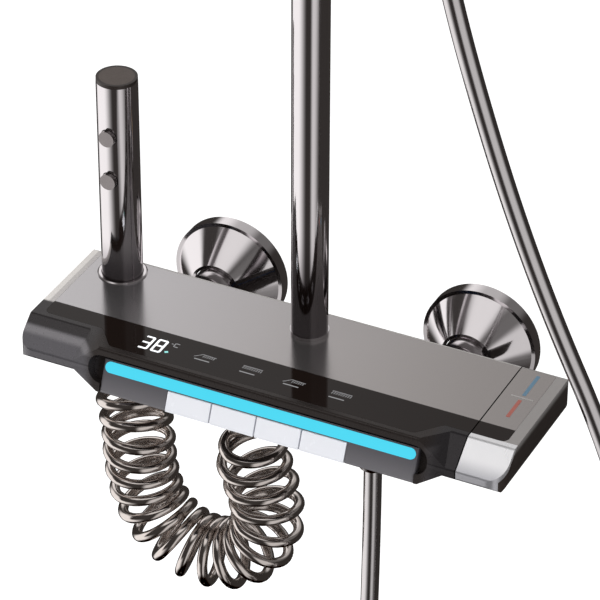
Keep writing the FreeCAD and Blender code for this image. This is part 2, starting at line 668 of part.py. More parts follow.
wings = padded("wings", "YZ_Plane", wing_outline, s.shelf_left + s.handle_joint, -s.shelf_left)
wing_rounds(wings, "wings", -s.shelf_left.number)
wings_plan = plan("wings_plan", -s.shelf_left, s.handle_joint, -s.shelf_left, s.front_corner_left)
nose = shape_feature("nose", nose_shape())
shell = joined("casing_outside", [common("wings_rounded", wings, wings_plan), nose])

inner_floor = shelf_bottom + s.floor_wall
inner_left = -s.shelf_left + s.casing_wall
inner_right = s.handle_joint - s.casing_wall
main_room = block("main_room", inner_left, inner_right, -glass_wing_reach + s.panel_ledge,
                  -back_inside, inner_floor, panel_seat)
nose_room = block("nose_room", -s.glass_nose_half + s.panel_ledge, s.glass_nose_half - s.panel_ledge,
                  -glass_nose_reach + s.panel_ledge, -glass_wing_reach + s.panel_ledge + s.overrun,
                  panel_seat - s.glass_room, panel_seat)
keys_half = s.key_pitch * 2.0
key_room_top = s.key_rod_height + s.key_valve_radius + s.key_clearance
key_room = block("key_room", -keys_half, keys_half, -face_foot_reach,
                 -glass_wing_reach + s.panel_ledge + s.overrun, nose_low + s.key_floor, key_room_top)
skirt_room = block("skirt_room", -keys_half, keys_half, -face_foot_reach,
                   s.key_skirt + s.key_travel + s.key_clearance - face_foot_reach,
                   nose_low - s.overrun, nose_low + s.key_floor + s.overrun)
panel_edges = (
    (-s.panel_left, -panel_back),
    (s.handle_joint + s.overrun, -panel_back),
    (s.handle_joint + s.overrun, -glass_wing_reach),
    (s.glass_root_half, -glass_wing_reach),
    (s.glass_nose_half, -glass_nose_reach),
    (-s.glass_nose_half, -glass_nose_reach),
    (-s.glass_root_half, -glass_wing_reach),
    (-s.panel_left, -glass_wing_reach),
)


def glass_corners(body, name):
    """Round the corners at the front of the panel opening or of the glass."""
    return rounded(body, name, s.glass_corner, lambda middle, way: abs(way.z) > ALIGNED
                   and middle.y < -panel_front.number - s.glass_corner.number
                   and middle.x < s.handle_joint.number - s.overrun.number)


panel_seat_cut = padded("panel_seat_cut", "XY_Plane", panel_edges, s.panel_thickness + s.overrun, panel_seat)
glass_corners(panel_seat_cut, "panel_seat_corners")
recess_way = s.recess_depth + face_foot_reach - wing_top_reach
recess = padded("recess", "XY_Plane", (
    (-s.recess_half, s.recess_low),
    (s.recess_half, s.recess_low),
    (s.recess_half, s.recess_top),
    (-s.recess_half, s.recess_top),
), recess_way, -s.recess_depth)
rounded(recess, "recess_corners", s.recess_corner, lambda middle, way: abs(way.z) > ALIGNED)
foot_y, foot_z = on_face(ZERO, ZERO)
placed(recess, (ZERO, foot_y, foot_z), FACE_TURN)
block_low = -s.key_chin - s.overrun
block_seat = box("block_seat", s.block_half * 2.0, s.block_top - block_low, recess_way,
                 (-s.block_half,) + on_face(block_low, -s.recess_depth), FACE_TURN)
sprayer_at = (-s.sprayer_left, -s.sprayer_reach)
collar_radius = s.sprayer_radius + s.sprayer_clearance + s.collar_wall
collar_hole = cylinder("collar_hole", collar_radius, s.shelf_thickness + s.overrun * 2.0,
                       sprayer_at + (shelf_bottom - s.overrun,))
riser_hole = cylinder("riser_hole", s.riser_radius + s.riser_socket, s.floor_wall + s.overrun * 2.0,
                      (ZERO, -s.riser_reach, shelf_bottom - s.overrun))
neck_holes = [cylinder(side + "_neck_hole", nut_radius + s.nut_clearance, s.casing_wall + s.overrun * 2.0,
                       (inlet_right * sign, -s.shelf_back + s.overrun, ZERO), FORWARD)
              for side, sign in SIDES]
housing_opening = block("housing_opening", -s.housing_half + s.housing_corner + s.housing_wall,
                        s.housing_half - s.housing_corner - s.housing_wall,
                        -s.housing_front + s.housing_wall + s.housing_corner, -back_inside,
                        shelf_bottom - s.overrun, inner_floor + s.overrun)
screw_places = [(s.housing_screw_right * sign, -s.housing_screw_reach) for sign in (-1, 1)]


def screw_holes(name, length, low):
    """Holes for the two screws that hold the lower housing."""
    return [cylinder(name + str(place), s.screw_radius + s.spindle_fit, length, at + (low,))
            for place, at in enumerate(screw_places)]


floor_screw_holes = screw_holes("floor_screw_hole", s.floor_wall + s.overrun * 2.0, shelf_bottom - s.overrun)
spindle_hole = cylinder("spindle_hole", s.thermo_radius + s.thermo_wall, s.casing_wall + s.overrun * 2.0,
                        (inner_right - s.overrun, -s.handle_reach, s.top_height - s.handle_drop), RIGHTWARD)
casing = cut("casing_body", shell, [main_room, nose_room, key_room, skirt_room, panel_seat_cut, recess,
                                    block_seat, collar_hole, riser_hole, housing_opening, spindle_hole]
             + neck_holes + floor_screw_holes)
node(casing, "casing")


# Lower housing: the closed box under the casing that hides the valve body
housing_low = -s.housing_drop
housing_outside = padded("housing_outside", "XY_Plane", (
    (-s.housing_half, -s.housing_front),
    (s.housing_half, -s.housing_front),
    (s.housing_half, -s.shelf_back),
    (-s.housing_half, -s.shelf_back),
), shelf_bottom - housing_low, housing_low)
rounded(housing_outside, "housing_corners", s.housing_corner, lambda middle, way: abs(way.z) > ALIGNED)
housing_room = block("housing_room", -s.housing_half + s.housing_wall + s.housing_corner,
                     s.housing_half - s.housing_wall - s.housing_corner,
                     -s.housing_front + s.housing_wall, -s.shelf_back - s.housing_wall,
                     housing_low + s.housing_wall, shelf_bottom + s.overrun)
hose_at = (s.hose_outlet_right, -s.hose_outlet_reach)
curl_at = (-s.curl_outlet_left, -s.curl_outlet_reach)
spout_at = (s.spout_right, -s.spout_reach)
outlet_holes = [cylinder(name, s.hose_thread_radius + s.nut_clearance, s.housing_wall + s.overrun * 2.0,
                         at + (housing_low - s.overrun,))
                for name, at in (("hose_hole", hose_at), ("curl_hole", curl_at), ("spout_hole", spout_at))]
housing_screw_holes = screw_holes("housing_screw_hole", s.housing_drop, housing_low)
housing_neck_holes = [cylinder(side + "_housing_hole", nut_radius + s.nut_clearance,
                               s.housing_wall + s.overrun * 2.0,
                               (inlet_right * sign, -s.shelf_back + s.overrun, ZERO), FORWARD)
                      for side, sign in SIDES]
housing = cut("housing_body", housing_outside,
              [housing_room] + outlet_holes + housing_neck_holes + housing_screw_holes)
node(housing, "lower_housing")

# Valve body: the brass casting with its inlets, manifold, thermostat chamber and outlets
body_z = -s.body_drop
spindle_z = s.top_height - s.handle_drop
chamber_radius = s.thermo_radius + s.thermo_wall
manifold_low = inner_floor + s.key_clearance
solids = [cylinder("main_tube", s.body_radius, s.body_left + inlet_right + s.body_radius,
                   (-s.body_left, -s.body_reach, body_z), RIGHTWARD),
          block("manifold", -s.manifold_half, s.manifold_half, -manifold_front, -s.body_reach,
                manifold_low, s.manifold_top),
          cylinder("chamber", chamber_radius, s.thermo_right - s.body_right + s.thermo_wall,
                   (s.body_right - s.thermo_wall, -s.handle_reach, spindle_z), RIGHTWARD),
          block("chamber_bridge", s.body_right - s.body_radius, s.thermo_left + s.body_radius,
                -s.handle_reach, -s.body_reach, body_z - s.thermo_radius / 2.0, spindle_z),
          cylinder("riser_boss", s.riser_radius + s.riser_socket, panel_seat - s.overrun - body_z,
                   (ZERO, -s.riser_reach, body_z)),
          cylinder("hose_boss", s.hose_thread_radius, body_z + s.outlet_bottom,
                   hose_at + (-s.outlet_bottom,)),
          cylinder("curl_boss", s.curl_nut_radius - s.nut_wall, body_z + s.outlet_bottom,
                   curl_at + (-s.outlet_bottom,)),
          cylinder("spout_boss", s.spout_stem, body_z + s.outlet_bottom,
                   spout_at + (-s.outlet_bottom,))]
water = [cylinder("main_bore", s.waterway, s.body_left + s.body_right - s.thermo_wall * 2.0,
                  (-s.body_left + s.thermo_wall, -s.body_reach, body_z), RIGHTWARD),
         cylinder("chamber_bore", s.thermo_radius, s.thermo_right - s.thermo_left + s.overrun * 2.0,
                  (s.thermo_left, -s.handle_reach, spindle_z), RIGHTWARD),
         cylinder("riser_seat", s.riser_radius, panel_seat - s.riser_socket,
                  (ZERO, -s.riser_reach, s.riser_socket)),
         cylinder("riser_bore", s.waterway, s.riser_socket - body_z,
                  (ZERO, -s.riser_reach, body_z)),
         cylinder("hose_bore", s.waterway, body_z + s.outlet_bottom + s.overrun,
                  hose_at + (-s.outlet_bottom - s.overrun,)),
         cylinder("curl_bore", s.waterway / 2.0, body_z + s.outlet_bottom + s.overrun,
                  curl_at + (-s.outlet_bottom - s.overrun,))]
for side, sign in SIDES:
    solids.append(cylinder(side + "_spigot", s.union_flange_radius, s.body_reach - spigot_start,
                           (inlet_right * sign, -spigot_start, ZERO), FORWARD))
    water.append(cylinder(side + "_spigot_bore", s.waterway, s.body_reach - spigot_start,
                          (inlet_right * sign, -spigot_start + s.overrun, ZERO), FORWARD))
water.append(cylinder("spout_bore", s.spout_bore, body_z + s.outlet_bottom + s.overrun,
                      spout_at + (-s.outlet_bottom - s.overrun,)))
node(cut("valve_body_cut", joined("valve_body_solids", solids), water), "valve_body")

# Bottom spout: the outlet for filling a bucket, screwed on under the right of the lower housing
outlet_nut_top = s.hose_thread_length - s.outlet_bottom
spout_socket = s.spout_stem + s.panel_gap
node(turned("spout_body", (
    (s.spout_bore, -s.spout_length),
    (s.spout_radius, -s.spout_length),
    (s.spout_radius, ZERO),
    (spout_socket, ZERO),
    (spout_socket, -s.hose_thread_length),
    (s.spout_bore, -s.hose_thread_length),
), spout_at + (outlet_nut_top,)), "bottom_spout")

# Screws that hold the lower housing to the casing floor
housing_screws = []
for place, at in enumerate(screw_places):
    name = "housing_screw_" + str(place)
    shank = cylinder(name + "_shank", s.screw_radius, s.screw_length, at + (housing_low,))
    screw_top = cylinder(name + "_top", s.screw_head, s.screw_radius, at + (housing_low - s.screw_radius,))
    housing_screws.append(joined(name, [shank, screw_top]))
node(joined("housing_screw_pair", housing_screws), "housing_screws")

# Top panel with the holes for the riser and the sprayer collar
panel = padded("panel_plate", "XY_Plane", (
    (-s.panel_left + s.panel_gap, -panel_front + s.panel_gap),
    (s.handle_joint, -panel_front + s.panel_gap),
    (s.handle_joint, -panel_back - s.panel_gap),
    (-s.panel_left + s.panel_gap, -panel_back - s.panel_gap),
), s.panel_thickness, panel_seat)
panel_holes = [cylinder("panel_riser_hole", s.riser_radius + s.panel_gap * 2.0,
                        s.panel_thickness + s.overrun * 2.0, (ZERO, -s.riser_reach, panel_seat - s.overrun)),
               cylinder("panel_collar_hole", collar_radius + s.panel_gap, s.panel_thickness + s.overrun * 2.0,
                        sprayer_at + (panel_seat - s.overrun,))]
node(cut("panel_cut", panel, panel_holes), "top_panel")

# Display glass: the dark strip in front of the panel, with a tongue into the nose
glass = padded("glass_plate", "XY_Plane", (
    (-s.panel_left + s.panel_gap, -panel_front),
    (-s.panel_left + s.panel_gap, -glass_wing_reach + s.panel_gap),
    (-s.glass_root_half, -glass_wing_reach + s.panel_gap),
    (-s.glass_nose_half + s.panel_gap, -glass_nose_reach + s.panel_gap),
    (s.glass_nose_half - s.panel_gap, -glass_nose_reach + s.panel_gap),
    (s.glass_root_half, -glass_wing_reach + s.panel_gap),
    (s.handle_joint, -glass_wing_reach + s.panel_gap),
    (s.handle_joint, -panel_front),
), s.panel_thickness, panel_seat)
glass_corners(glass, "glass_corners")
node(glass, "display_glass")

# Display board with its digit module, under the glass
board_top = panel_seat - s.panel_gap
board_low = board_top - s.digits_thickness - s.board_thickness
node(block("digit_block", -s.digits_left, s.digits_width - s.digits_left, -digits_reach,
           s.digits_depth - digits_reach, board_top - s.digits_thickness, board_top), "digit_module")
node(block("board_plate", s.board_margin - s.glass_nose_half, s.glass_nose_half - s.board_margin,
           s.board_margin - glass_nose_reach, s.digits_depth - digits_reach,
           board_low, board_low + s.board_thickness), "display_board")

# Key block, lamp strip and light bar, all lying along the sloping face
key_block = padded("block_plate", "XY_Plane", (
    (-s.block_half, -s.key_chin),
    (s.block_half, -s.key_chin),
    (s.block_half, s.block_top),
    (-s.block_half, s.block_top),
), s.recess_depth, -s.recess_depth)
rounded(key_block, "block_edges", s.block_round, lambda middle, way: near(middle.z, 0)
        and middle.y < s.block_top.number - NEARNESS)
placed(key_block, (ZERO, foot_y, foot_z), FACE_TURN)


def capsule(name, length, height, depth, along, out):
    """A flat bar with half-round ends, lying on the key face."""
    radius = height / 2.0
    left = -length / 2.0
    pieces = [box(name + "_middle", length - height, height, depth, (left + radius, along, out)),
              cylinder(name + "_left", radius, depth, (left + radius, along + radius, out)),
              cylinder(name + "_right", radius, depth, (left + length - radius, along + radius, out))]
    return placed(joined(name, pieces), (ZERO, foot_y, foot_z), FACE_TURN)


bar_out = s.bar_stand - s.bar_depth
light_bar = capsule("bar_body", s.bar_length, s.bar_height, s.bar_depth, s.bar_foot, bar_out)
bar_seat = capsule("bar_seat", s.bar_length + s.bar_gap * 2.0, s.bar_height + s.bar_gap * 2.0,
                   s.bar_depth + s.lamp_depth + s.overrun, s.bar_foot - s.bar_gap, bar_out - s.lamp_depth)
lamp = capsule("lamp_body", s.bar_length - s.bar_height, s.bar_height / 2.0, s.lamp_depth,
               s.bar_foot + s.bar_height / 4.0, bar_out - s.lamp_depth)
key_top = on_face(s.key_height, ZERO)[1]
key_low = s.top_height - s.face_foot_drop - s.key_chin
window = block("key_window", -keys_half, keys_half, -nose_chin_reach - s.overrun,
               -wing_top_reach, nose_low - s.overrun, key_top + s.key_clearance)
node(cut("key_block_cut", key_block, [window, bar_seat]), "key_block")
node(lamp, "lamp_strip")
node(light_bar, "light_bar")

# Keys: a sloping face on a tail with a lug, whose push rod stands in a valve cartridge, and a spring
key_width = s.key_pitch - s.key_gap
face_y, face_z = on_face(ZERO, s.bar_stand)
top_y, top_z = on_face(s.key_height, s.bar_stand)
rod_z = s.key_rod_height
tail_low = nose_low + s.key_floor + s.key_clearance
lug_top = rod_z + s.key_rod_radius
key_outline = (
    (face_y, face_z),
    (face_y, key_low),
    (face_y + s.key_skirt, key_low),
    (face_y + s.key_skirt, tail_low),
    (-key_back, tail_low),
    (-key_back, lug_top),
    (-key_back - s.key_lug, lug_top),
    (-key_back - s.key_lug, tail_low + s.key_skirt),
    (top_y + s.key_skirt, tail_low + s.key_skirt),
    (top_y + s.key_skirt, top_z),
    (top_y, top_z),
)
spring_bore = s.key_rod_radius + s.rod_clearance * 2.0
valves = []
for place in range(4):
    name = "key_" + str(place + 1)
    left = s.key_pitch * float(place) - keys_half + s.key_gap / 2.0
    middle_x = left + key_width / 2.0
    cap = padded(name + "_cap", "YZ_Plane", key_outline, key_width, left)
    rod = cylinder(name + "_rod", s.key_rod_radius, s.key_rod_length,
                   (middle_x, s.key_rod_length - key_back, rod_z), FORWARD)
    node(joined(name + "_body", [cap, rod]), name)
    node(tube(name + "_spring_tube", spring_bore + s.spring_wire, spring_bore,
              s.key_valve_set - s.spring_gap * 2.0,
              (middle_x, -key_valve_front - s.spring_gap, rod_z), FORWARD), "key_spring_" + str(place + 1))
    valves.append(tube(name + "_valve", s.key_valve_radius, s.key_rod_radius + s.rod_clearance,
                       s.key_valve_length, (middle_x, -manifold_front, rod_z), FORWARD))
node(joined("valves_all", valves), "key_valves")

# Thermostatic cartridge and the spindle that the handle turns
cartridge = tube("cartridge_tube", s.thermo_radius - s.spindle_fit, s.spindle_radius + s.spindle_fit,
                 s.thermo_right - s.thermo_left, (s.thermo_left, -s.handle_reach, spindle_z), RIGHTWARD)
node(cartridge, "thermostatic_cartridge")
spindle = cylinder("spindle_rod", s.spindle_radius, s.spindle_end - s.thermo_left - s.thermo_radius,
                   (s.thermo_left + s.thermo_radius, -s.handle_reach, spindle_z), RIGHTWARD)
node(spindle, "handle_spindle")

# Temperature handle: a core with the profile of the wings, a silver front, a top plate and glass
handle_profile = padded("handle_profile", "YZ_Plane", wing_outline, s.shelf_right - handle_start, handle_start)
wing_rounds(handle_profile, "handle", s.shelf_right.number)
handle_plan = plan("handle_plan", handle_start, s.shelf_right, s.shelf_right, s.front_corner_right)
handle_outside = common("handle_outside", handle_profile, handle_plan)
slope_run = wing_lip_reach - wing_top_reach
slope_turn = FreeCAD.Rotation(X_AXIS, math.degrees(math.atan2(s.wing_slope_drop.number, slope_run.number)))
skin_span = s.wing_slope_drop + slope_run
slope_skin = padded("slope_skin", "XY_Plane", (
    (handle_start - s.overrun, -s.wing_slope_drop * 2.0),
    (s.shelf_right, -s.wing_slope_drop * 2.0),
    (s.shelf_right, skin_span - s.handle_skin / 2.0),
    (handle_start - s.overrun, skin_span - s.handle_skin / 2.0),
), s.shelf_thickness, -s.handle_skin)
placed(slope_skin, (ZERO, -wing_lip_reach, lip_top), slope_turn)
lip_skin = block("lip_skin", handle_start - s.overrun, s.shelf_right, -wing_lip_reach - s.overrun,
                 -wing_lip_reach + s.handle_skin, shelf_bottom, lip_top)
skin_tool = joined("skin_tool", [slope_skin, lip_skin])
handle_front = common("handle_front_common", handle_outside, skin_tool)
node(handle_front, "handle_front")
handle_seat = padded("handle_seat", "XY_Plane", (
    (handle_start - s.overrun, -glass_wing_reach),
    (s.panel_right, -glass_wing_reach),
    (s.panel_right, -panel_back),
    (handle_start - s.overrun, -panel_back),
), s.panel_thickness + s.overrun, panel_seat)
rounded(handle_seat, "handle_seat_corner", s.glass_corner, lambda middle, way: abs(way.z) > ALIGNED
        and middle.y < -panel_front.number and middle.x > handle_start.number + s.glass_corner.number)
spindle_socket = cylinder("spindle_socket", s.spindle_radius, s.spindle_end - handle_start + s.overrun,
                          (handle_start - s.overrun, -s.handle_reach, spindle_z), RIGHTWARD)
handle_core = cut("handle_core_cut", handle_outside, [skin_tool, handle_seat, spindle_socket])
node(handle_core, "handle_core")
handle_plate = block("handle_plate_box", handle_start, s.panel_right - s.panel_gap,
                     -panel_front + s.panel_gap, -panel_back - s.panel_gap, panel_seat, s.top_height)
node(handle_plate, "handle_plate")
handle_glass = padded("handle_glass_plate", "XY_Plane", (
    (handle_start, -glass_wing_reach + s.panel_gap),
    (s.panel_right - s.panel_gap, -glass_wing_reach + s.panel_gap),
    (s.panel_right - s.panel_gap, -panel_front),
    (handle_start, -panel_front),
), s.panel_thickness, panel_seat)
rounded(handle_glass, "handle_glass_corner", s.glass_corner, lambda middle, way: abs(way.z) > ALIGNED
        and middle.y < -panel_front.number - s.glass_corner.number
        and middle.x > handle_start.number + s.glass_corner.number)
node(handle_glass, "handle_glass")

# Collar that the sprayer stands in, with a seat at its foot and a bright rim on the panel
collar_low = -s.collar_drop
collar_bore = s.sprayer_radius + s.sprayer_clearance
sprayer_foot = collar_low + s.collar_foot + s.sprayer_clearance
curl_nut_way = s.curl_nut_radius + s.sprayer_clearance * 2.0
collar = turned("collar_body", (
    (curl_nut_way, collar_low),
    (collar_radius - s.panel_gap, collar_low),
    (collar_radius - s.panel_gap, s.top_height),
    (collar_radius + s.collar_rim, s.top_height),
    (collar_radius + s.collar_rim, s.top_height + s.collar_stand / 2.0),
    (collar_radius, s.top_height + s.collar_stand),
    (collar_bore, s.top_height + s.collar_stand),
    (collar_bore, collar_low + s.collar_foot),
    (curl_nut_way, collar_low + s.collar_foot),
), sprayer_at + (ZERO,))
node(collar, "sprayer_collar")

# Sprayer: tube, spray plate, valve core, two buttons with springs, and the nut of its hose
button_z = {"upper": s.spray_button_high, "lower": s.spray_button_low}
button_hole = s.spray_button_radius + s.spray_button_clearance
sprayer_in = s.sprayer_radius - s.sprayer_wall
cap_low = s.sprayer_top - s.sprayer_cap
sprayer_shell = tube("sprayer_shell", s.sprayer_radius, sprayer_in, cap_low - sprayer_foot,
                     sprayer_at + (sprayer_foot,))
sprayer_floor = tube("sprayer_floor", sprayer_in, s.spray_core_radius, s.sprayer_wall * 2.0,
                     sprayer_at + (sprayer_foot,))
button_holes = [cylinder(name + "_button_hole", button_hole, s.sprayer_radius,
                         (-s.sprayer_left, -s.sprayer_reach - s.spray_core_radius, height), FORWARD)
                for name, height in button_z.items()]
node(cut("sprayer_cut", joined("sprayer_solids", [sprayer_shell, sprayer_floor]), button_holes), "sprayer_tube")
node(cylinder("cap_disc", s.sprayer_radius - s.panel_gap, s.sprayer_cap, sprayer_at + (cap_low,)),
     "spray_plate")
node(tube("spray_core_tube", s.spray_core_radius, s.spray_core_bore,
          cap_low - sprayer_foot - s.sprayer_wall * 2.0, sprayer_at + (sprayer_foot + s.sprayer_wall * 2.0,)),
     "spray_core")
button_back = s.sprayer_reach + s.sprayer_radius - s.spray_button_depth
button_front = s.sprayer_reach + s.sprayer_radius + s.spray_button_stand
spring_back = s.sprayer_reach + s.spray_core_radius + s.spring_gap
for name, height in button_z.items():
    node(cylinder(name + "_button_face", s.spray_button_radius, button_front - button_back,
                  (-s.sprayer_left, -button_back, height), FORWARD), name + "_spray_button")
    node(tube(name + "_spring_tube", s.spray_spring_radius, s.spray_spring_bore,
              button_back - spring_back - s.spring_gap, (-s.sprayer_left, -spring_back, height), FORWARD),
         name + "_button_spring")
node(turned("sprayer_nut_body", (
    (s.curl_wire / 2.0, -s.curl_nut_length),
    (s.curl_nut_narrow, -s.curl_nut_length),
    (s.curl_nut_radius, -s.curl_nut_shoulder),
    (s.curl_nut_radius, ZERO),
    (s.curl_wire / 2.0, ZERO),
), sprayer_at + (sprayer_foot,)), "sprayer_hose_nut")

# Outlet nut of the curly hose under the lower housing
outlet_nut_top = s.curl_thread_length - s.outlet_bottom
curl_thread_hole = s.curl_nut_radius - s.nut_wall + s.panel_gap
node(turned("outlet_nut_body", (
    (s.curl_wire / 2.0, -s.curl_nut_length),
    (s.curl_nut_narrow, -s.curl_nut_length),
    (s.curl_nut_radius, -s.curl_nut_shoulder),
    (s.curl_nut_radius, ZERO),
    (curl_thread_hole, ZERO),
    (curl_thread_hole, -s.curl_thread_length),
    (s.curl_wire / 2.0, -s.curl_thread_length),
), curl_at + (outlet_nut_top,)), "curly_hose_nut")


def biarc(start, start_way, finish, finish_way):
    """Two arcs that leave start along one direction and reach finish along the other."""
    chord = finish - start
    ways = start_way + finish_way
    square = 2 * (1 - start_way.dot(finish_way))
    along = chord.dot(ways)
    if abs(square) < 1e-6:
        reach = chord.dot(chord) / (4 * chord.dot(finish_way))
    else:
        reach = (math.sqrt(along * along + square * chord.dot(chord)) - along) / square
    first = start + start_way * reach
    second = finish - finish_way * reach
    meet = (first + second) * 0.5
    edges = []
    for here, corner, there in ((start, first, meet), (meet, second, finish)):
        middle = (here + there) * 0.5
        away = corner - middle
        half = (there - here).Length / 2
        if away.Length < half * 1e-4:
            edges.append(Part.LineSegment(here, there).toShape())
            continue
        sagitta = half * math.tan(math.atan2(away.Length, half) / 2)
        edges.append(Part.Arc(here, middle + away.normalize() * sagitta, there).toShape())
    return edges


def swept_tube(edges, radius, start, way):
    """A round bar along a chain of edges."""
    wire = Part.Wire(edges)
    circle = Part.Wire([Part.Circle(start, way, radius).toShape()])
    shell = Part.BRepOffsetAPI.MakePipeShell(wire)
    shell.add(circle)
    shell.build()
    shell.makeSolid()
    return shell.shape()


# Curly hose: one tube that winds round a U-shaped course from the sprayer to the outlet nut
curl_start = sprayer_foot - s.curl_nut_length
curl_end = outlet_nut_top - s.curl_nut_length
CURL_COURSE = (
    (-115.2, -53.5, -38.0),
    (-113.4, -54.8, -46.0),
    (-110.9, -56.6, -54.0),
    (-108.2, -58.6, -62.0),
    (-105.8, -60.4, -70.0),
    (-104.1, -61.6, -78.0),
    (-103.5, -62.0, -86.0),
    (-103.2, -62.0, -95.0),
    (-101.2, -62.0, -110.5),
    (-96.0, -62.0, -125.2),
    (-86.8, -62.0, -137.2),
    (-74.2, -62.0, -144.9),
    (-60.3, -62.0, -147.5),
    (-45.9, -62.0, -144.6),
    (-33.8, -62.0, -136.5),
    (-25.7, -62.0, -124.4),
    (-22.8, -62.5, -110.0),
    (-24.6, -63.3, -96.0),
    (-28.0, -64.8, -82.0),
    (-31.4, -66.6, -67.5),
)
STILL_SHARE = 0.6


def smooth_share(share):
    share = min(max(share, 0.0), 1.0)
    return share * share * (3 - 2 * share)


def curly_course():
    """Points and directions of the hose, four to each curl, and how many curls it has."""
    first = point(-s.sprayer_left, -s.sprayer_reach, curl_start - s.curl_stub)
    last = point(-s.curl_outlet_left, -s.curl_outlet_reach, curl_end - s.curl_stub)
    knots = [first] + [FreeCAD.Vector(*knot) for knot in CURL_COURSE] + [last]
    axis = Part.BSplineCurve()
    axis.interpolate(Points=knots)
    length = axis.length()
    still = s.curl_ramp.number * STILL_SHARE
    wound = length - still * 2
    growth = s.curl_outlet_pitch.number / s.curl_pitch.number - 1
    turns = round(wound / s.curl_pitch.number * math.log(1 + growth) / growth * 4) / 4

    def turned_share(run):
        wound_share = min(max((run * length - still) / wound, 0.0), 1.0)
        return math.log(1 + growth * wound_share) / math.log(1 + growth)

    def place(run):
        parameter = axis.parameterAtDistance(run * length, axis.FirstParameter)
        centre = axis.value(parameter)
        forward = axis.tangent(parameter)[0]
        side = Y_AXIS.cross(forward).normalize()
        back = forward.cross(side)
        open_share = smooth_share(run * length / s.curl_ramp.number)
        open_share = open_share * smooth_share((1 - run) * length / s.curl_ramp.number)
        radius = s.curl_radius.number * open_share
        angle = -2 * math.pi * turns * turned_share(run)
        return centre + side * (radius * math.cos(angle)) + back * (radius * math.sin(angle))

    count = int(turns * 4) + 1
    points = [place(step / (count - 1)) for step in range(count)]
    tiny = 1e-4
    ways = []
    for step in range(count):
        run = step / (count - 1)
        ahead = place(min(run + tiny, 1.0))
        behind = place(max(run - tiny, 0.0))
        ways.append((ahead - behind).normalize())
    ways[0] = FreeCAD.Vector(0, 0, -1)
    ways[-1] = FreeCAD.Vector(0, 0, 1)
    return points, ways, turns


points, ways, turns = curly_course()
top = point(-s.sprayer_left, -s.sprayer_reach, curl_start)
end = point(-s.curl_outlet_left, -s.curl_outlet_reach, curl_end)
edges = [Part.LineSegment(top, points[0]).toShape()]
for step in range(len(points) - 1):
    edges += biarc(points[step], ways[step], points[step + 1], ways[step + 1])
edges.append(Part.LineSegment(points[-1], end).toShape())
curl_shape = swept_tube(edges, s.curl_wire.number / 2, top, -Z_AXIS)
curl_length = sum(edge.Length for edge in edges)
section = math.pi * (s.curl_wire.number / 2) ** 2
print("curly hose: turns", turns, "length", round(curl_length), "volume over section and length",
      round(curl_shape.Volume / (section * curl_length), 3))


def least_gap(edges, diameter, skip):
    """Least distance between parts of a hose that are more than skip apart along it, less its diameter."""
    samples = []
    run = 0.0
    for edge in edges:
        count = max(2, int(edge.Length / (diameter / 3)))
        for step in range(count):
            share = step / count
            spot = edge.valueAt(edge.FirstParameter + (edge.LastParameter - edge.FirstParameter) * share)
            samples.append((run + edge.Length * share, spot))
        run += edge.Length
    least = diameter * 100
    for place, (here_run, here) in enumerate(samples):
        for there_run, there in samples[place + 1:]:
            if there_run - here_run > skip:
                least = min(least, (here - there).Length)
    return least - diameter


print("curly hose: least gap to itself", round(least_gap(edges, s.curl_wire.number, s.curl_wire.number * 5), 2))
node(shape_feature("curly_hose_shape", curl_shape), "curly_hose")

# Riser: a bright ring on the panel and the lower pipe in its socket
riser_at = (ZERO, -s.riser_reach)
riser_in = s.riser_radius - s.riser_wall
node(tube("riser_ring", s.riser_collar_radius, s.riser_radius + s.panel_gap, s.riser_collar_height,
          riser_at + (s.top_height,)), "riser_ring")
node(tube("riser_tube", s.riser_radius, riser_in, s.riser_joint_height - s.riser_socket,
          riser_at + (s.riser_socket,)), "riser_pipe")

# Overhead arm: a narrowed end in the lower pipe, the upper pipe, a quarter bend and the level arm
bend_z = s.arm_height - s.arm_bend
arm_front = s.arm_reach + s.cup_radius
bend_at = (ZERO, -s.riser_reach - s.arm_bend, bend_z)
level_at = (ZERO, -s.riser_reach - s.arm_bend, s.arm_height)


def arm_bar(name, radius):
    """The upper pipe, the bend and the level arm as solids of one radius."""
    bend = doc.addObject("Part::Torus", name + "_bend")
    bend.setExpression("Radius1", s.arm_bend.text)
    bend.setExpression("Radius2", radius.text)
    bend.Angle3 = 90
    placed(bend, bend_at, FreeCAD.Rotation(Y_AXIS, Z_AXIS, X_AXIS, "ZXY"))
    post = cylinder(name + "_post", radius, bend_z - s.riser_joint_height, riser_at + (s.riser_joint_height,))
    level = cylinder(name + "_level", radius, arm_front - s.riser_reach - s.arm_bend, level_at, FORWARD)
    return joined(name, [post, bend, level])


arm_shell = cut("arm_shell", arm_bar("arm_outside", s.riser_radius), [arm_bar("arm_bore", riser_in)])
arm_spigot = tube("arm_spigot", riser_in - s.spindle_fit, riser_in - s.riser_wall, s.riser_joint_length,
                  riser_at + (s.riser_joint_height - s.riser_joint_length / 2.0,))
spigot_root = tube("spigot_root", s.riser_radius, riser_in - s.riser_wall, s.riser_wall,
                   riser_at + (s.riser_joint_height,))
head_at = (ZERO, -s.arm_reach)
ball_z = s.arm_height - s.ball_drop
arm_plug = cylinder("arm_plug", s.riser_radius, s.riser_wall,
                    (ZERO, s.riser_wall - arm_front, s.arm_height), FORWARD)
arm_stem = cylinder("arm_stem", s.ball_neck, s.ball_drop - riser_in, head_at + (ball_z,))
arm_ball = ball("arm_ball", s.ball_radius, head_at + (ball_z,))
arm_water = cylinder("arm_water", s.ball_bore, s.ball_drop + s.ball_radius,
                     head_at + (ball_z - s.ball_radius,))
node(cut("arm_cut", joined("arm_solids", [arm_shell, arm_spigot, spigot_root, arm_plug, arm_stem, arm_ball]),
         [arm_water]), "overhead_arm")

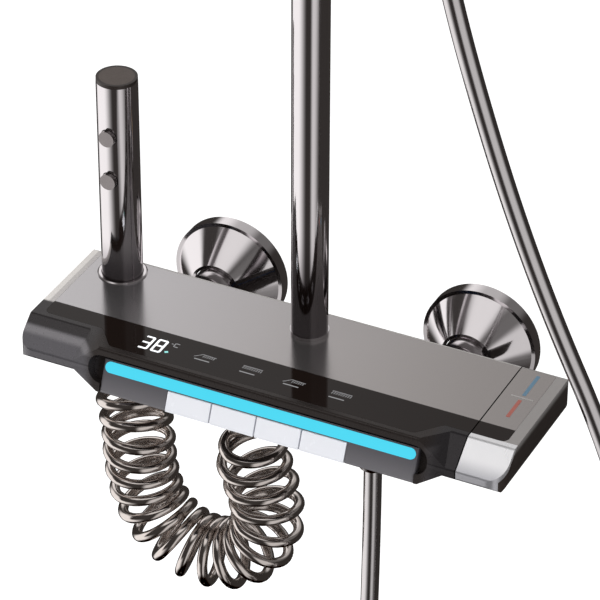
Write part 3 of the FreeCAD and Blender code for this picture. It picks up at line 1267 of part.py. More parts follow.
# Wall bracket of the riser, with two screws through its wall plate
bracket_height = s.arm_height - s.bracket_drop
bracket_low = bracket_height - s.bracket_ring_height / 2.0
bracket_ring = cylinder("bracket_ring", s.riser_radius + s.bracket_ring_wall, s.bracket_ring_height,
                        riser_at + (bracket_low,))
bracket_at = (ZERO, ZERO, bracket_height)
bracket_rod = cylinder("bracket_rod", s.bracket_rod, s.riser_reach - s.riser_radius, bracket_at, FORWARD)
bracket_plate = cylinder("bracket_plate", s.bracket_plate_radius, s.bracket_plate_depth, bracket_at, FORWARD)
bracket_bore = cylinder("bracket_bore", s.riser_radius + s.spindle_fit, s.bracket_ring_height + s.overrun * 2.0,
                        riser_at + (bracket_low - s.overrun,))
bracket_tools = [bracket_bore]
bracket_screws = []
for side, sign in (("left", -1), ("right", 1)):
    across = s.bracket_screw_spacing * (sign / 2)
    bracket_tools.append(cylinder(side + "_bracket_hole", s.bracket_screw_radius + s.spindle_fit,
                                  s.bracket_plate_depth + s.overrun * 2.0,
                                  (across, s.overrun, bracket_height), FORWARD))
    thread = cylinder(side + "_bracket_thread", s.bracket_screw_radius, s.bracket_screw_length,
                      (across, s.bracket_screw_length, bracket_height), FORWARD)
    shank = cylinder(side + "_bracket_shank", s.bracket_screw_shank, s.bracket_plate_depth,
                     (across, ZERO, bracket_height), FORWARD)
    screw_top = cylinder(side + "_bracket_screw_top", s.bracket_screw_head, s.bracket_screw_radius,
                         (across, -s.bracket_plate_depth, bracket_height), FORWARD)
    bracket_screws.append(joined(side + "_bracket_screw", [thread, shank, screw_top]))
node(cut("bracket_cut", joined("bracket_solids", [bracket_ring, bracket_rod, bracket_plate]),
         bracket_tools), "wall_bracket")
node(joined("bracket_screw_pair", bracket_screws), "bracket_screws")

# Rain head: the cup that turns on the ball, the thin round shell and its nozzle face
head_top = ball_z - s.head_drop
cup = cylinder("cup_outside", s.cup_radius, s.head_drop + s.cup_stand, head_at + (head_top,))
cup_hollow = ball("cup_hollow", s.ball_radius + s.ball_cup_gap, head_at + (ball_z,))
cup_mouth = cone("cup_mouth", s.ball_neck, s.cup_radius, s.ball_radius, head_at + (ball_z + s.cup_mouth,))
cup_way = cylinder("cup_way", s.ball_neck, s.head_drop + s.overrun, head_at + (head_top - s.overrun,))
node(cut("cup_cut", cup, [cup_hollow, cup_mouth, cup_way]), "rain_head_swivel")
face_hole = s.face_radius + s.panel_gap
node(turned("head_shell", (
    (s.ball_neck, ZERO),
    (s.head_crown, ZERO),
    (s.head_radius, s.head_edge - s.head_thickness),
    (s.head_radius, -s.head_thickness),
    (face_hole, -s.head_thickness),
    (face_hole, s.face_depth - s.head_thickness),
    (s.ball_neck, s.face_depth - s.head_thickness),
), head_at + (head_top,)), "rain_head_shell")
node(cylinder("head_face", s.face_radius, s.face_depth, head_at + (head_top - s.head_thickness,)),
     "rain_head_face")

# Slider on the riser: the ring with the stub that the holder turns on, and the clamp knob with its screw
slider_low = s.slider_height - s.slider_length / 2.0
slider_middle = (ZERO, -s.riser_reach, s.slider_height)
slider_ring = cylinder("slider_ring", s.slider_radius, s.slider_length, riser_at + (slider_low,))
stub = cylinder("slider_stub", s.slider_stub_radius, s.slider_stub_end, slider_middle, RIGHTWARD)
slider_bore = cylinder("slider_bore", s.riser_radius + s.slider_fit, s.slider_length + s.overrun * 2.0,
                       riser_at + (slider_low - s.overrun,))
clamp_hole = cylinder("clamp_hole", s.clamp_screw_radius + s.spindle_fit, s.slider_radius, slider_middle,
                      LEFTWARD)
node(cut("slider_cut", joined("slider_solids", [slider_ring, stub]), [slider_bore, clamp_hole]), "slider")
clamp_disc = cylinder("clamp_disc", s.slider_knob_radius, s.slider_knob_length,
                      (-s.slider_radius - s.clamp_gap, -s.riser_reach, s.slider_height), LEFTWARD)
clamp_start = s.riser_radius + s.slider_fit
clamp_screw = cylinder("clamp_screw", s.clamp_screw_radius, s.slider_radius + s.clamp_gap - clamp_start,
                       (-clamp_start, -s.riser_reach, s.slider_height), LEFTWARD)
node(joined("clamp_solids", [clamp_disc, clamp_screw]), "clamp_knob")

# Holder: a leaning cup with a slot in front, on a hub that turns on the slider's stub
lean = math.radians(s.handset_lean_degrees.number)
holder_at = (s.holder_right, -s.holder_reach, s.slider_height)
holder_bore_radius = s.handset_handle_radius + s.holder_clearance
HANDSET_FORWARD = HANDSET_TURN * FORWARD


def leaned(right, back, up):
    """A place from the middle of the holder, measured along the leaning handset."""
    return (holder_at[0] + right,
            holder_at[1] + back * math.cos(lean) - up * math.sin(lean),
            holder_at[2] + back * math.sin(lean) + up * math.cos(lean))


hub_start = s.slider_radius + s.clamp_gap
hub_at = (hub_start, -s.riser_reach, s.slider_height)
hub_length = s.holder_right - holder_bore_radius - hub_start
hub = cylinder("hub_outside", s.slider_stub_radius + s.holder_wall, hub_length, hub_at, RIGHTWARD)
hub_bore = cylinder("hub_bore", s.slider_stub_radius + s.spindle_fit,
                    s.slider_stub_end - hub_start + s.clamp_gap, hub_at, RIGHTWARD)
holder_low = -s.holder_length / 2.0
holder_bar = cylinder("holder_bar", s.holder_radius, s.holder_length, leaned(ZERO, ZERO, holder_low),
                      HANDSET_TURN)
holder_bore = cylinder("holder_bore", holder_bore_radius, s.holder_length + s.overrun * 2.0,
                       leaned(ZERO, ZERO, holder_low - s.overrun), HANDSET_TURN)
holder_slot = box("holder_slot", s.holder_slot, s.holder_radius * 2.0, s.holder_length + s.overrun * 2.0,
                  leaned(-s.holder_slot / 2.0, -s.holder_radius * 2.0, holder_low - s.overrun), HANDSET_TURN)
node(cut("holder_cut", joined("holder_solids", [hub, holder_bar]), [hub_bore, holder_bore, holder_slot]),
     "handset_holder")

# Handset: hollow handle, round spray head and its face
handset_bar = cylinder("handset_bar", s.handset_handle_radius, s.handset_below + s.handset_top,
                       leaned(ZERO, ZERO, -s.handset_below), HANDSET_TURN)
spray_disc = cylinder("spray_disc", s.handset_head_radius, s.handset_head_depth,
                      leaned(ZERO, s.handset_head_depth / 2.0, s.handset_above), HANDSET_FORWARD)
face_seat = s.handset_face_depth - s.handset_head_depth / 2.0
face_recess = cylinder("face_recess", s.handset_face_radius + s.panel_gap, s.handset_face_depth + s.overrun,
                       leaned(ZERO, face_seat, s.handset_above), HANDSET_FORWARD)
handset_way = cylinder("handset_way", s.waterway, s.handset_below + s.handset_top,
                       leaned(ZERO, ZERO, -s.handset_below - s.overrun), HANDSET_TURN)
node(cut("handset_cut", joined("handset_solids", [handset_bar, spray_disc]), [face_recess, handset_way]),
     "handset_body")
node(cylinder("handset_face_disc", s.handset_face_radius, s.handset_face_depth,
              leaned(ZERO, face_seat, s.handset_above), HANDSET_FORWARD), "handset_face")

# Hose nuts: long cones, one over the threaded outlet of the valve and one under the handset
thread_hole = s.hose_thread_radius + s.panel_gap
node(turned("lower_nut", (
    (s.hose_radius, -s.hose_nut_length),
    (s.hose_nut_narrow, -s.hose_nut_length),
    (s.hose_nut_radius, -s.hose_nut_shoulder),
    (s.hose_nut_radius, ZERO),
    (thread_hole, ZERO),
    (thread_hole, -s.hose_thread_length),
    (s.hose_radius, -s.hose_thread_length),
), hose_at + (outlet_nut_top,)), "lower_hose_nut")
upper_nut_top = s.handset_handle_radius - s.holder_clearance
upper_nut_bore = s.hose_radius + s.spindle_fit
node(turned("upper_nut", (
    (upper_nut_bore, -s.hose_nut_length),
    (s.hose_nut_narrow, -s.hose_nut_length),
    (upper_nut_top, -s.hose_nut_shoulder),
    (upper_nut_top, ZERO),
    (upper_nut_bore, ZERO),
), leaned(ZERO, ZERO, -s.handset_below), HANDSET_TURN), "upper_hose_nut")

# Shower hose: from the lower nut in a loop under the shelf and up past its right end to the handset.
# The corners of its way are chosen by eye from the two places where the hose shows.
HOSE_ROUTE = (
    (43.0, -70.0, -80.0),
    (42.5, -70.0, -130.0),
    (42.0, -71.0, -182.0),
    (42.5, -72.0, -236.0),
    (48.0, -74.0, -290.0),
    (65.0, -77.0, -338.0),
    (97.0, -81.0, -371.0),
    (139.0, -85.0, -374.0),
    (175.0, -88.0, -347.0),
    (195.5, -91.0, -301.0),
    (205.0, -93.0, -248.0),
    (209.0, -94.0, -194.0),
    (210.0, -95.0, -140.0),
    (208.0, -95.0, -86.0),
    (200.5, -95.0, -27.0),
    (179.6, -95.0, 32.0),
    (151.9, -95.0, 88.0),
    (128.3, -95.0, 144.0),
    (108.0, -95.0, 201.0),
    (91.2, -95.0, 255.0),
    (76.5, -91.5, 309.0),
    (64.5, -82.0, 361.0),
    (55.5, -68.5, 413.0),
    (49.5, -54.5, 464.0),
    (45.0, -43.98, 517.6),
)


CORNER_SHARE = 0.45


def rounded_route(route, corner_share):
    """Straight runs joined by tangent arcs, with the least radius among the arcs."""
    edges = []
    radii = []
    here = route[0]
    for place in range(1, len(route) - 1):
        corner = route[place]
        inward = corner - route[place - 1]
        outward = route[place + 1] - corner
        reach = corner_share * min(inward.Length, outward.Length)
        half_turn = inward.getAngle(outward) / 2
        inward.normalize()
        outward.normalize()
        radius = reach / math.tan(half_turn)
        start = corner - inward * reach
        finish = corner + outward * reach
        towards = (outward - inward).normalize()
        middle = corner + towards * (radius / math.cos(half_turn) - radius)
        edges.append(Part.LineSegment(here, start).toShape())
        edges.append(Part.Arc(start, middle, finish).toShape())
        radii.append(radius)
        here = finish
    edges.append(Part.LineSegment(here, route[-1]).toShape())
    return edges, min(radii)


hose_start = point(s.hose_outlet_right, -s.hose_outlet_reach, outlet_nut_top - s.hose_nut_length)
hose_end = point(*leaned(ZERO, ZERO, -s.handset_below - s.hose_nut_length))
hose_route = [hose_start] + [FreeCAD.Vector(*place) for place in HOSE_ROUTE] + [hose_end]
hose_edges, hose_bend = rounded_route(hose_route, CORNER_SHARE)
hose_shape = swept_tube(hose_edges, s.hose_radius.number, hose_start, -Z_AXIS)
hose_length = sum(edge.Length for edge in hose_edges)
hose_section = math.pi * s.hose_radius.number ** 2
print("shower hose: length", round(hose_length), "least bend radius", round(hose_bend, 1),
      "volume over section and length", round(hose_shape.Volume / (hose_section * hose_length), 3))
node(shape_feature("shower_hose_shape", hose_shape), "shower_hose")

# Every object must have computed without an error and every solid must be valid before it is written
doc.recompute()
for item in doc.Objects:
    if "Invalid" in item.State or "Error" in item.State:
        raise RuntimeError(item.Label + " did not compute")
for item in nodes:
    if not item.Shape.isValid() or item.Shape.Volume <= 0 or not item.Shape.Solids:
        raise RuntimeError(item.Label + " is not a valid solid")
for item in nodes:
    item.Shape.exportStep("parts/" + item.Label + ".step")
print(len(nodes), "pieces written")
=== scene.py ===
"""Shower system: shelf mixer with keys, side sprayer, riser with rain head, and hand shower."""
import math

import bpy
import numpy as np
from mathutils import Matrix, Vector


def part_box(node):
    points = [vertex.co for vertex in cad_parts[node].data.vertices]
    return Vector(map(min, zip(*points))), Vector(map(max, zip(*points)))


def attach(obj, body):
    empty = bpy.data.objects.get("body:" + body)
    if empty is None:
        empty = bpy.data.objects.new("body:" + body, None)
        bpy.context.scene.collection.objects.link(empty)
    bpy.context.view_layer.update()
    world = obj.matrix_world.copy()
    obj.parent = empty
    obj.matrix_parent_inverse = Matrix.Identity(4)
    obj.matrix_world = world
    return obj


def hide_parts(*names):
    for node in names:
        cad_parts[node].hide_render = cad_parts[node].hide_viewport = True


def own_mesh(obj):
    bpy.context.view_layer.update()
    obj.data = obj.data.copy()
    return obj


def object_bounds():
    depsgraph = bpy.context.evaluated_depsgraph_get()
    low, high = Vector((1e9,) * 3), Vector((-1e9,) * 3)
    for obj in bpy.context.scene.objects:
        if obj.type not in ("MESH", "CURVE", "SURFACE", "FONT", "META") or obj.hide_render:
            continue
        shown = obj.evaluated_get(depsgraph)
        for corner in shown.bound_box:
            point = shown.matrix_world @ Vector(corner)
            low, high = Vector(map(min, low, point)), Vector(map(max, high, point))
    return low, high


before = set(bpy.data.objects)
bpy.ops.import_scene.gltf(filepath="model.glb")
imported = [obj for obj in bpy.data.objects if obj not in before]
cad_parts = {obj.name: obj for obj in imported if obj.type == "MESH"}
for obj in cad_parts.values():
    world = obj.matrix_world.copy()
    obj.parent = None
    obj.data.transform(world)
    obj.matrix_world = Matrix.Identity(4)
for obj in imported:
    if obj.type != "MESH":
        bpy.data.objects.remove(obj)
cad_box = [list(map(float, corner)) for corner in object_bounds()]
bpy.context.scene.view_settings.view_transform = "Standard"

# Camera: a long lens 1.86 m from the front edge of the shelf, to the right of it and above.
# The photograph is cropped off centre, so the lens is shifted a little.
camera_data = bpy.data.cameras.new("camera")
camera = bpy.data.objects.new("camera", camera_data)
bpy.context.scene.collection.objects.link(camera)
bpy.context.scene.camera = camera
turned, raised, away = math.radians(26.5), math.radians(34.34), 1.855
aim = np.array([0.0, -0.090, 0.017])
towards = np.array([math.cos(raised) * math.sin(turned), -math.cos(raised) * math.cos(turned),
                    math.sin(raised)])
camera.location = tuple(aim + towards * away)
camera.rotation_euler = (math.pi / 2 - raised, 0.0, turned)
camera_data.sensor_width = 36.0
camera_data.lens = 213.48
camera_data.shift_x, camera_data.shift_y = 0.02693, 0.10025
camera_data.clip_end = 50.0


# Shader sums: an output of a shader node with plain arithmetic on it, for the materials of all pieces.
class Socket:
    """An output of a shader node; arithmetic on it adds Math nodes to its tree."""

    def __init__(self, tree, link):
        self.tree, self.link = tree, link

    def make(self, kind, settings, values, output=0):
        """Add a node of this kind, with its settings and the values or links of its sockets."""
        node = self.tree.nodes.new(kind)
        for key, value in settings.items():
            setattr(node, key, value)
        for key, value in values.items():
            if isinstance(value, Socket):
                self.tree.links.new(value.link, node.inputs[key])
            else:
                node.inputs[key].default_value = value
        return Socket(self.tree, node.outputs[output])

    def sum(self, operation, first, second):
        return self.make("ShaderNodeMath", {"operation": operation}, {0: first, 1: second})

    def __add__(self, other):
        return self.sum("ADD", self, other)

    def __sub__(self, other):
        return self.sum("SUBTRACT", self, other)

    def __mul__(self, other):
        return self.sum("MULTIPLY", self, other)

    def __truediv__(self, other):
        return self.sum("DIVIDE", self, other)

    def step(self, low, high):
        """0 at low, 1 at high, and a smooth rise between them."""
        return self.make("ShaderNodeMapRange", {"interpolation_type": "SMOOTHSTEP"},
                         {"Value": self, "From Min": low, "From Max": high})

    def axis(self, name):
        """One coordinate of this place."""
        return self.make("ShaderNodeSeparateXYZ", {}, {0: self}, output="XYZ".index(name))

    def mixed(self, first, second):
        """A colour between first, where this is 0, and second, where it is 1."""
        return self.make("ShaderNodeMix", {"data_type": "RGBA"}, {0: self, 6: first, 7: second}, output=2)

    def noise(self, scale, detail=2.0):
        """Cloudy noise from 0 to 1 at this place."""
        return self.make("ShaderNodeTexNoise", {}, {"Vector": self, "Scale": scale, "Detail": detail})


# A finish is a material with one Principled shader. What varies over the surface is given as a
# function of the place on the object, and the rest is set on the shader's own sockets.
class Finish:
    """One finish of the object: colour, metal or not, roughness, and fine relief if it has any."""

    def __init__(self, name, colour, metallic, roughness, relief=None, depth=0.00002, **fixed):
        self.material = bpy.data.materials.new(name)
        self.material.use_nodes = True
        self.tree = self.material.node_tree
        self.tree.nodes.clear()
        output = self.tree.nodes.new("ShaderNodeOutputMaterial")
        self.shader = self.tree.nodes.new("ShaderNodeBsdfPrincipled")
        self.tree.links.new(self.shader.outputs[0], output.inputs["Surface"])
        self.place = Socket(self.tree, self.tree.nodes.new("ShaderNodeTexCoord").outputs["Object"])
        self.set("Base Color", colour)
        self.set("Metallic", metallic)
        self.set("Roughness", roughness)
        for key, value in fixed.items():
            self.set(key.replace("_", " "), value)
        if relief is not None:
            bump = self.place.make("ShaderNodeBump", {}, {"Strength": 1.0, "Distance": depth,
                                                          "Height": relief(self.place)})
            self.tree.links.new(bump.link, self.shader.inputs["Normal"])

    def set(self, name, value):
        """Set a socket of the shader to a value, or to what a function makes of the place."""
        if callable(value):
            value = value(self.place)
        if isinstance(value, Socket):
            self.tree.links.new(value.link, self.shader.inputs[name])
        else:
            self.shader.inputs[name].default_value = value


def shade(red, green, blue):
    """A colour given as it looks on a screen, 0 to 255, as linear light."""
    light = [((part / 255 + 0.055) / 1.055) ** 2.4 if part > 10 else part / 255 / 12.92
             for part in (red, green, blue)]
    return tuple(light) + (1.0,)


def dress(finish, *nodes):
    """Give a finish to pieces that keep their CAD mesh."""
    for name in nodes:
        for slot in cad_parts[name].material_slots:
            slot.material = finish.material


def meshed(name, points, faces, finish, smooth=True):
    """An object at the origin from points and faces, wound as given."""
    mesh = bpy.data.meshes.new(name)
    mesh.from_pydata([tuple(map(float, point)) for point in points], [], faces)
    mesh.polygons.foreach_set("use_smooth", [smooth] * len(mesh.polygons))
    mesh.validate()
    piece = bpy.data.objects.new(name, mesh)
    bpy.context.scene.collection.objects.link(piece)
    mesh.materials.append(finish.material)
    return piece


# Floor: white paper a little under the lowest piece. It glows for the camera, so that it comes out
# white like the photograph's ground, and it keeps the object's shadow.
def seen_by_camera(tree):
    """1 for what the camera sees, straight or through clear pieces, and 0 for all other light."""
    rays = tree.nodes.new("ShaderNodeLightPath")
    straight = Socket(tree, rays.outputs["Is Camera Ray"])
    return straight.sum("MAXIMUM", straight, Socket(tree, rays.outputs["Is Transmission Ray"]))


floor_low = cad_box[0][2] - 0.004
half = 9
paper = Finish("white_paper", (0.85, 0.85, 0.85, 1.0), 0.0, 0.9)
paper.set("Emission Color", (1.0, 1.0, 1.0, 1.0))
paper.set("Emission Strength", seen_by_camera(paper.tree) * 0.62)
floor = meshed("studio_floor", [(x, y, floor_low) for x, y in ((-half, -half), (half, -half),
                                                               (half, half), (-half, half))],
               [(0, 1, 2, 3)], paper)
floor.visible_glossy = False

# World: white behind the object, and an even light of less than half that on it.
world = bpy.data.worlds.new("studio_world")
bpy.context.scene.world = world
world.use_nodes = True
world.node_tree.nodes.clear()
seen = seen_by_camera(world.node_tree)
sky = seen.make("ShaderNodeBackground", {}, {"Color": (1.0, 1.0, 1.0, 1.0), "Strength": seen * 0.52 + 0.48})
world.node_tree.links.new(sky.link, world.node_tree.nodes.new("ShaderNodeOutputWorld").inputs["Surface"])


# Reflections: a round wall four metres away that only mirrors see. Its white and dark stretches are
# the bands on the chromed pipes in the photograph.
def rise(value, low, high):
    """0 up to low, 1 from high, and a smooth rise between them."""
    share = np.clip((value - low) / (high - low), 0.0, 1.0)
    return share * share * (3 - 2 * share)


def reflected_light(bearing, climb):
    """How bright the studio looks from the object, by bearing in degrees from straight ahead to the right
    and by climb: a wide window to the left and a narrow one to the right whose light falls off softly, a
    dark gap over them in front, a white sail above that, and a pale wall behind for the glass panel."""
    left = 1.08 * rise(bearing, -116, -98) * (1 - rise(bearing, -52, 2))
    right = 0.66 * rise(bearing, 22, 40) * (1 - rise(bearing - 30 * rise(climb, -30, -12), 44, 80))
    windows = (0.04 + np.maximum(left, right)) * rise(climb, -62, -44)
    top = -22 + 34 * (1 - rise(bearing, -78, -50) + rise(bearing, 10, 20))
    round_bearing = np.where(bearing < 0, bearing + 360, bearing)
    behind = rise(round_bearing, 150, 178) * (1 - rise(round_bearing, 236, 256))
    behind *= 0.55 + 0.45 * rise(round_bearing, 196, 214)
    gap = 0.05 + 0.12 * rise(bearing, 24, 44) + 0.20 * (1 - rise(bearing, -110, -80))
    middle = np.maximum(gap, behind)
    low = 1 - rise(climb, top, top + 12)
    high = rise(climb, 40, 52)
    ceiling = 0.12 + 0.76 * (1 - rise(climb, 62, 76)) * rise(bearing, -84, -60) * (1 - rise(bearing, 40, 70))
    return windows * low + middle * (1 - low) * (1 - high) + ceiling * high


columns, rows, distance = 181, 67, 4
bearings = np.radians(np.linspace(-180, 180, columns))
climbs = np.radians(np.linspace(-88, 88, rows))
around, up = np.meshgrid(bearings, climbs)
wall_points = np.stack([distance * np.cos(up) * np.sin(around),
                        -0.07 - distance * np.cos(up) * np.cos(around),
                        distance * np.sin(up)], -1)
wall_faces = [(corner, corner + 1, corner + columns + 1, corner + columns)
              for row in range(rows - 1) for corner in range(row * columns, (row + 1) * columns - 1)]
wall_glow = Finish("studio_wall", (0.0, 0.0, 0.0, 1.0), 0.0, 1.0)
wall_glow.shader.inputs["Specular IOR Level"].default_value = 0.0
wall_glow.set("Emission Strength", 1.0)
tone = wall_glow.tree.nodes.new("ShaderNodeAttribute")
tone.attribute_name = "tone"
wall_glow.tree.links.new(tone.outputs["Color"], wall_glow.shader.inputs["Emission Color"])
wall = meshed("studio_wall", wall_points.reshape(-1, 3), wall_faces, wall_glow)
tones = reflected_light(np.degrees(around).ravel(), np.degrees(up).ravel())
colours = np.stack([tones, tones * 0.985 - 0.004, tones * 0.98 - 0.006, np.ones_like(tones)], -1)
wall.data.attributes.new("tone", "FLOAT_COLOR", "POINT").data.foreach_set("color", colours.ravel())
wall.visible_camera = wall.visible_diffuse = wall.visible_shadow = wall.visible_transmission = False


# Lamps: a large one from the left above, a smaller one from the right and one in front for the keys.
def softbox(name, place, size, power, target=(0.0, -0.07, 0.05)):
    """A square soft lamp that looks at the shelf and stays out of the reflections."""
    data = bpy.data.lights.new(name, "AREA")
    data.shape = "SQUARE"
    data.size = size
    data.energy = power
    lamp = bpy.data.objects.new(name, data)
    bpy.context.scene.collection.objects.link(lamp)
    lamp.location = place
    way = np.array(target) - np.array(place)
    lean = math.atan2(math.hypot(way[0], way[1]), -way[2])
    lamp.rotation_euler = (lean, 0.0, math.atan2(way[1], way[0]) - math.pi / 2)
    lamp.visible_glossy = False


softbox("key_lamp", (-1.1, -1.2, 1.5), 1.2, 15.0)
softbox("fill_lamp", (1.3, -0.9, 1.0), 1.4, 7.0)
softbox("front_lamp", (0.1, -1.9, 0.5), 1.0, 5.0)


# Shower hose: smooth silver hose of 10 mm. It leaves the outlet under the shelf, hangs in a loop past
# the right end and goes up to the foot of the hand shower; one free length held at both ends.
def hose_curve(name, places, radius, rounds=8):
    """A round hose along a NURBS spline with these control points, in metres."""
    curve = bpy.data.curves.new(name, "CURVE")
    curve.dimensions = "3D"
    curve.resolution_u = 12
    curve.bevel_depth = radius
    curve.bevel_resolution = rounds
    curve.use_fill_caps = True
    spline = curve.splines.new("NURBS")
    spline.points.add(len(places) - 1)
    spline.points.foreach_set("co", np.hstack([np.array(places), np.ones((len(places), 1))]).ravel())
    spline.order_u = 3
    spline.use_endpoint_u = True
    piece = bpy.data.objects.new(name, curve)
    bpy.context.scene.collection.objects.link(piece)
    return piece


shower_way = [(43.0, -70.0, -48.0), (43.0, -70.0, -80.0), (42.5, -70.0, -130.0), (42.0, -71.0, -182.0),
              (42.5, -72.0, -236.0), (48.0, -74.0, -290.0), (65.0, -77.0, -338.0), (97.0, -81.0, -371.0),
              (139.0, -85.0, -374.0), (175.0, -88.0, -347.0), (195.5, -91.0, -301.0), (205.0, -93.0, -248.0),
              (209.0, -94.0, -194.0), (210.0, -95.0, -140.0), (208.0, -95.0, -86.0), (200.5, -95.0, -27.0),
              (179.6, -95.0, 32.0), (151.9, -95.0, 88.0), (128.3, -95.0, 144.0), (108.0, -95.0, 201.0),
              (91.2, -95.0, 255.0), (76.5, -91.5, 309.0), (64.5, -82.0, 361.0), (55.5, -68.5, 413.0),
              (49.5, -54.5, 464.0), (45.0, -43.98, 517.6), (45.0, -52.473, 557.542)]
shower_hose = hose_curve("shower_hose_smooth", [(x / 1000, y / 1000, z / 1000) for x, y, z in shower_way],
                         0.005)
hose_skin = Finish("hose_skin", lambda p: p.noise(90.0).mixed(shade(208, 205, 206), shade(216, 213, 214)), 1.0,
                   lambda p: p.noise(300.0) * 0.05 + 0.13)
shower_hose.data.materials.append(hose_skin.material)
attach(shower_hose, "fixed")
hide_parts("shower_hose")

# Curly hose: dark chrome-look hose of 6 mm, wound in 20.5 curls about a slack loop from the foot of
# the sprayer to its outlet under the shelf. The curls open a little towards the outlet.
curl_way = [(-115.9, -53.0, -23.7), (-115.9, -53.0, -29.9), (-115.2, -53.5, -38.0), (-113.4, -54.8, -46.0),
            (-110.9, -56.6, -54.0), (-108.2, -58.6, -62.0), (-105.8, -60.4, -70.0), (-104.1, -61.6, -78.0),
            (-103.5, -62.0, -86.0), (-103.2, -62.0, -95.0), (-101.2, -62.0, -110.5), (-96.0, -62.0, -125.2),
            (-86.8, -62.0, -137.2), (-74.2, -62.0, -144.9), (-60.3, -62.0, -147.5), (-45.9, -62.0, -144.6),
            (-33.8, -62.0, -136.5), (-25.7, -62.0, -124.4), (-22.8, -62.5, -110.0), (-24.6, -63.3, -96.0),
            (-28.0, -64.8, -82.0), (-31.4, -66.6, -67.5), (-33.0, -68.0, -49.8), (-33.0, -68.0, -43.6)]


def sampled_way(places):
    """Points along the NURBS spline with these control points, read from a curve without thickness."""
    guide = hose_curve("curl_guide", [(x / 1000, y / 1000, z / 1000) for x, y, z in places], 0.0)
    mesh = bpy.data.meshes.new_from_object(guide)
    points = np.empty(len(mesh.vertices) * 3)
    mesh.vertices.foreach_get("co", points)
    bpy.data.objects.remove(guide)
    bpy.data.meshes.remove(mesh)
    return points.reshape(-1, 3)


def curled(way, turns, radius, stub, ramp, growth, per_turn=22):
    """Points of a helix about a way that keeps straight over a stub at each end: side and back are square
    to the way, the radius opens over a ramp, the turning starts when the ramp is most of the way open, and
    the step from curl to curl grows by a share of growth."""
    run = np.concatenate([[0.0], np.cumsum(np.linalg.norm(np.diff(way, axis=0), axis=1))])
    length = run[-1] - 2 * stub
    spots = np.linspace(0.0, run[-1], int(turns * per_turn) + 1)

    def along(places):
        return np.stack([np.interp(np.clip(places, 0, run[-1]), run, way[:, i]) for i in range(3)], axis=1)

    forward = along(spots + 0.002) - along(spots - 0.002)
    forward /= np.linalg.norm(forward, axis=1)[:, None]
    side = np.cross(np.array([0.0, 1.0, 0.0]), forward)
    side /= np.linalg.norm(side, axis=1)[:, None]
    back = np.cross(forward, side)
    reach = radius * rise(spots - stub, 0, ramp) * rise(length + stub - spots, 0, ramp)
    still = ramp * 0.6
    wound = np.clip((spots - stub - still) / (length - 2 * still), 0, 1)
    angle = -2 * np.pi * turns * np.log(1 + growth * wound) / np.log(1 + growth)
    return along(spots) + reach[:, None] * (side * np.cos(angle)[:, None] + back * np.sin(angle)[:, None])


curl_points = curled(sampled_way(curl_way), turns=20.5, radius=0.0179, stub=0.0062, ramp=0.012,
                     growth=13.9 / 10.6 - 1)
curly_hose = hose_curve("curly_hose_wound", curl_points.tolist(), 0.0030, rounds=6)
curly_hose.data.resolution_u = 2
curl_skin = Finish("curl_skin", lambda p: p.noise(60.0).mixed(shade(216, 208, 203), shade(226, 218, 213)), 1.0,
                   lambda p: p.noise(220.0) * 0.04 + 0.10)
curly_hose.data.materials.append(curl_skin.material)
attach(curly_hose, "fixed")
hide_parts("curly_hose")
curl_run = float(np.linalg.norm(np.diff(curl_points, axis=0), axis=1).sum())


# Chromed pieces: turned, drawn and cast brass under hard chrome, polished like a mirror. They are
# screwed to each other, and the rosettes slide over their unions against the wall.
def chrome_colour(p):
    """Very light grey with a hint of cloud."""
    return p.noise(40.0).mixed(shade(226, 222, 224), shade(232, 228, 230))


def chrome_polish(p):
    """Roughness of a mirror polish."""
    return p.noise(60.0) * 0.03 + 0.07


dress(Finish("polished_chrome", chrome_colour, 1.0, chrome_polish),
      "riser_ring", "overhead_arm", "wall_bracket", "sprayer_collar", "rain_head_shell", "rain_head_swivel",
      "slider", "clamp_knob", "left_rosette", "right_rosette", "neck_sleeves", "union_nuts", "curly_hose_nut",
      "sprayer_hose_nut", "lower_hose_nut", "upper_hose_nut", "handset_body", "handset_holder")


# Riser and sprayer tube: drawn brass tubes under the same chrome. Painted shade darkens it smoothly over
# the end of each that stands on the panel, as in the photograph.
def tube_chrome_shaded_foot(name, top, bottom):
    """Chrome with painted shade: bright over the height top and dark under the height bottom."""
    def colour(p):
        # painted shade: the colour darkens towards the foot of the tube
        return p.axis("Z").step(top, bottom).mixed(chrome_colour(p), shade(158, 152, 155))

    return Finish(name, colour, 1.0, chrome_polish)


dress(tube_chrome_shaded_foot("riser_chrome_painted_shade", 0.085, 0.040), "riser_pipe")
dress(tube_chrome_shaded_foot("sprayer_chrome_painted_shade", 0.045, 0.020), "sprayer_tube")


# Spray plate: a moulded disc of dark satin plastic, pressed into the top of the sprayer, with a darker
# rim that shows where it meets the tube.
def disc_colour(p):
    """Colour by the squared distance from the axis of the sprayer, with the rim past 9.5 mm."""
    right, back = p.axis("X") + 0.1159, p.axis("Y") + 0.053
    rim = (right * right + back * back).step(0.000086, 0.000094)
    return rim.mixed(p.noise(900.0).mixed(shade(74, 65, 60), shade(96, 85, 79)), shade(52, 45, 42))


spray_disc = Finish("spray_disc", disc_colour, 0.3, lambda p: p.noise(200.0) * 0.1 + 0.32)
dress(spray_disc, "spray_plate")


# Front of the handle: a moulded plastic cap, silver paint under clear lacquer, clipped over the core.
# A painted highlight makes it palest where it turns over to the glass.
def silver_with_painted_highlight(p):
    """Silver paint with a painted highlight, near white over a height of 11 mm."""
    # painted highlight along the top of the cap
    painted_highlight = p.axis("Z").step(0.004, 0.011)
    return painted_highlight.mixed(p.noise(800.0).mixed(shade(190, 190, 196), shade(202, 202, 207)), shade(252, 252, 254))


silver = Finish("silver_paint_and_highlight", silver_with_painted_highlight, 0.7,
                lambda p: p.noise(90.0) * 0.05 + 0.24, lambda p: p.noise(2500.0), 0.000003)
dress(silver, "handle_front")

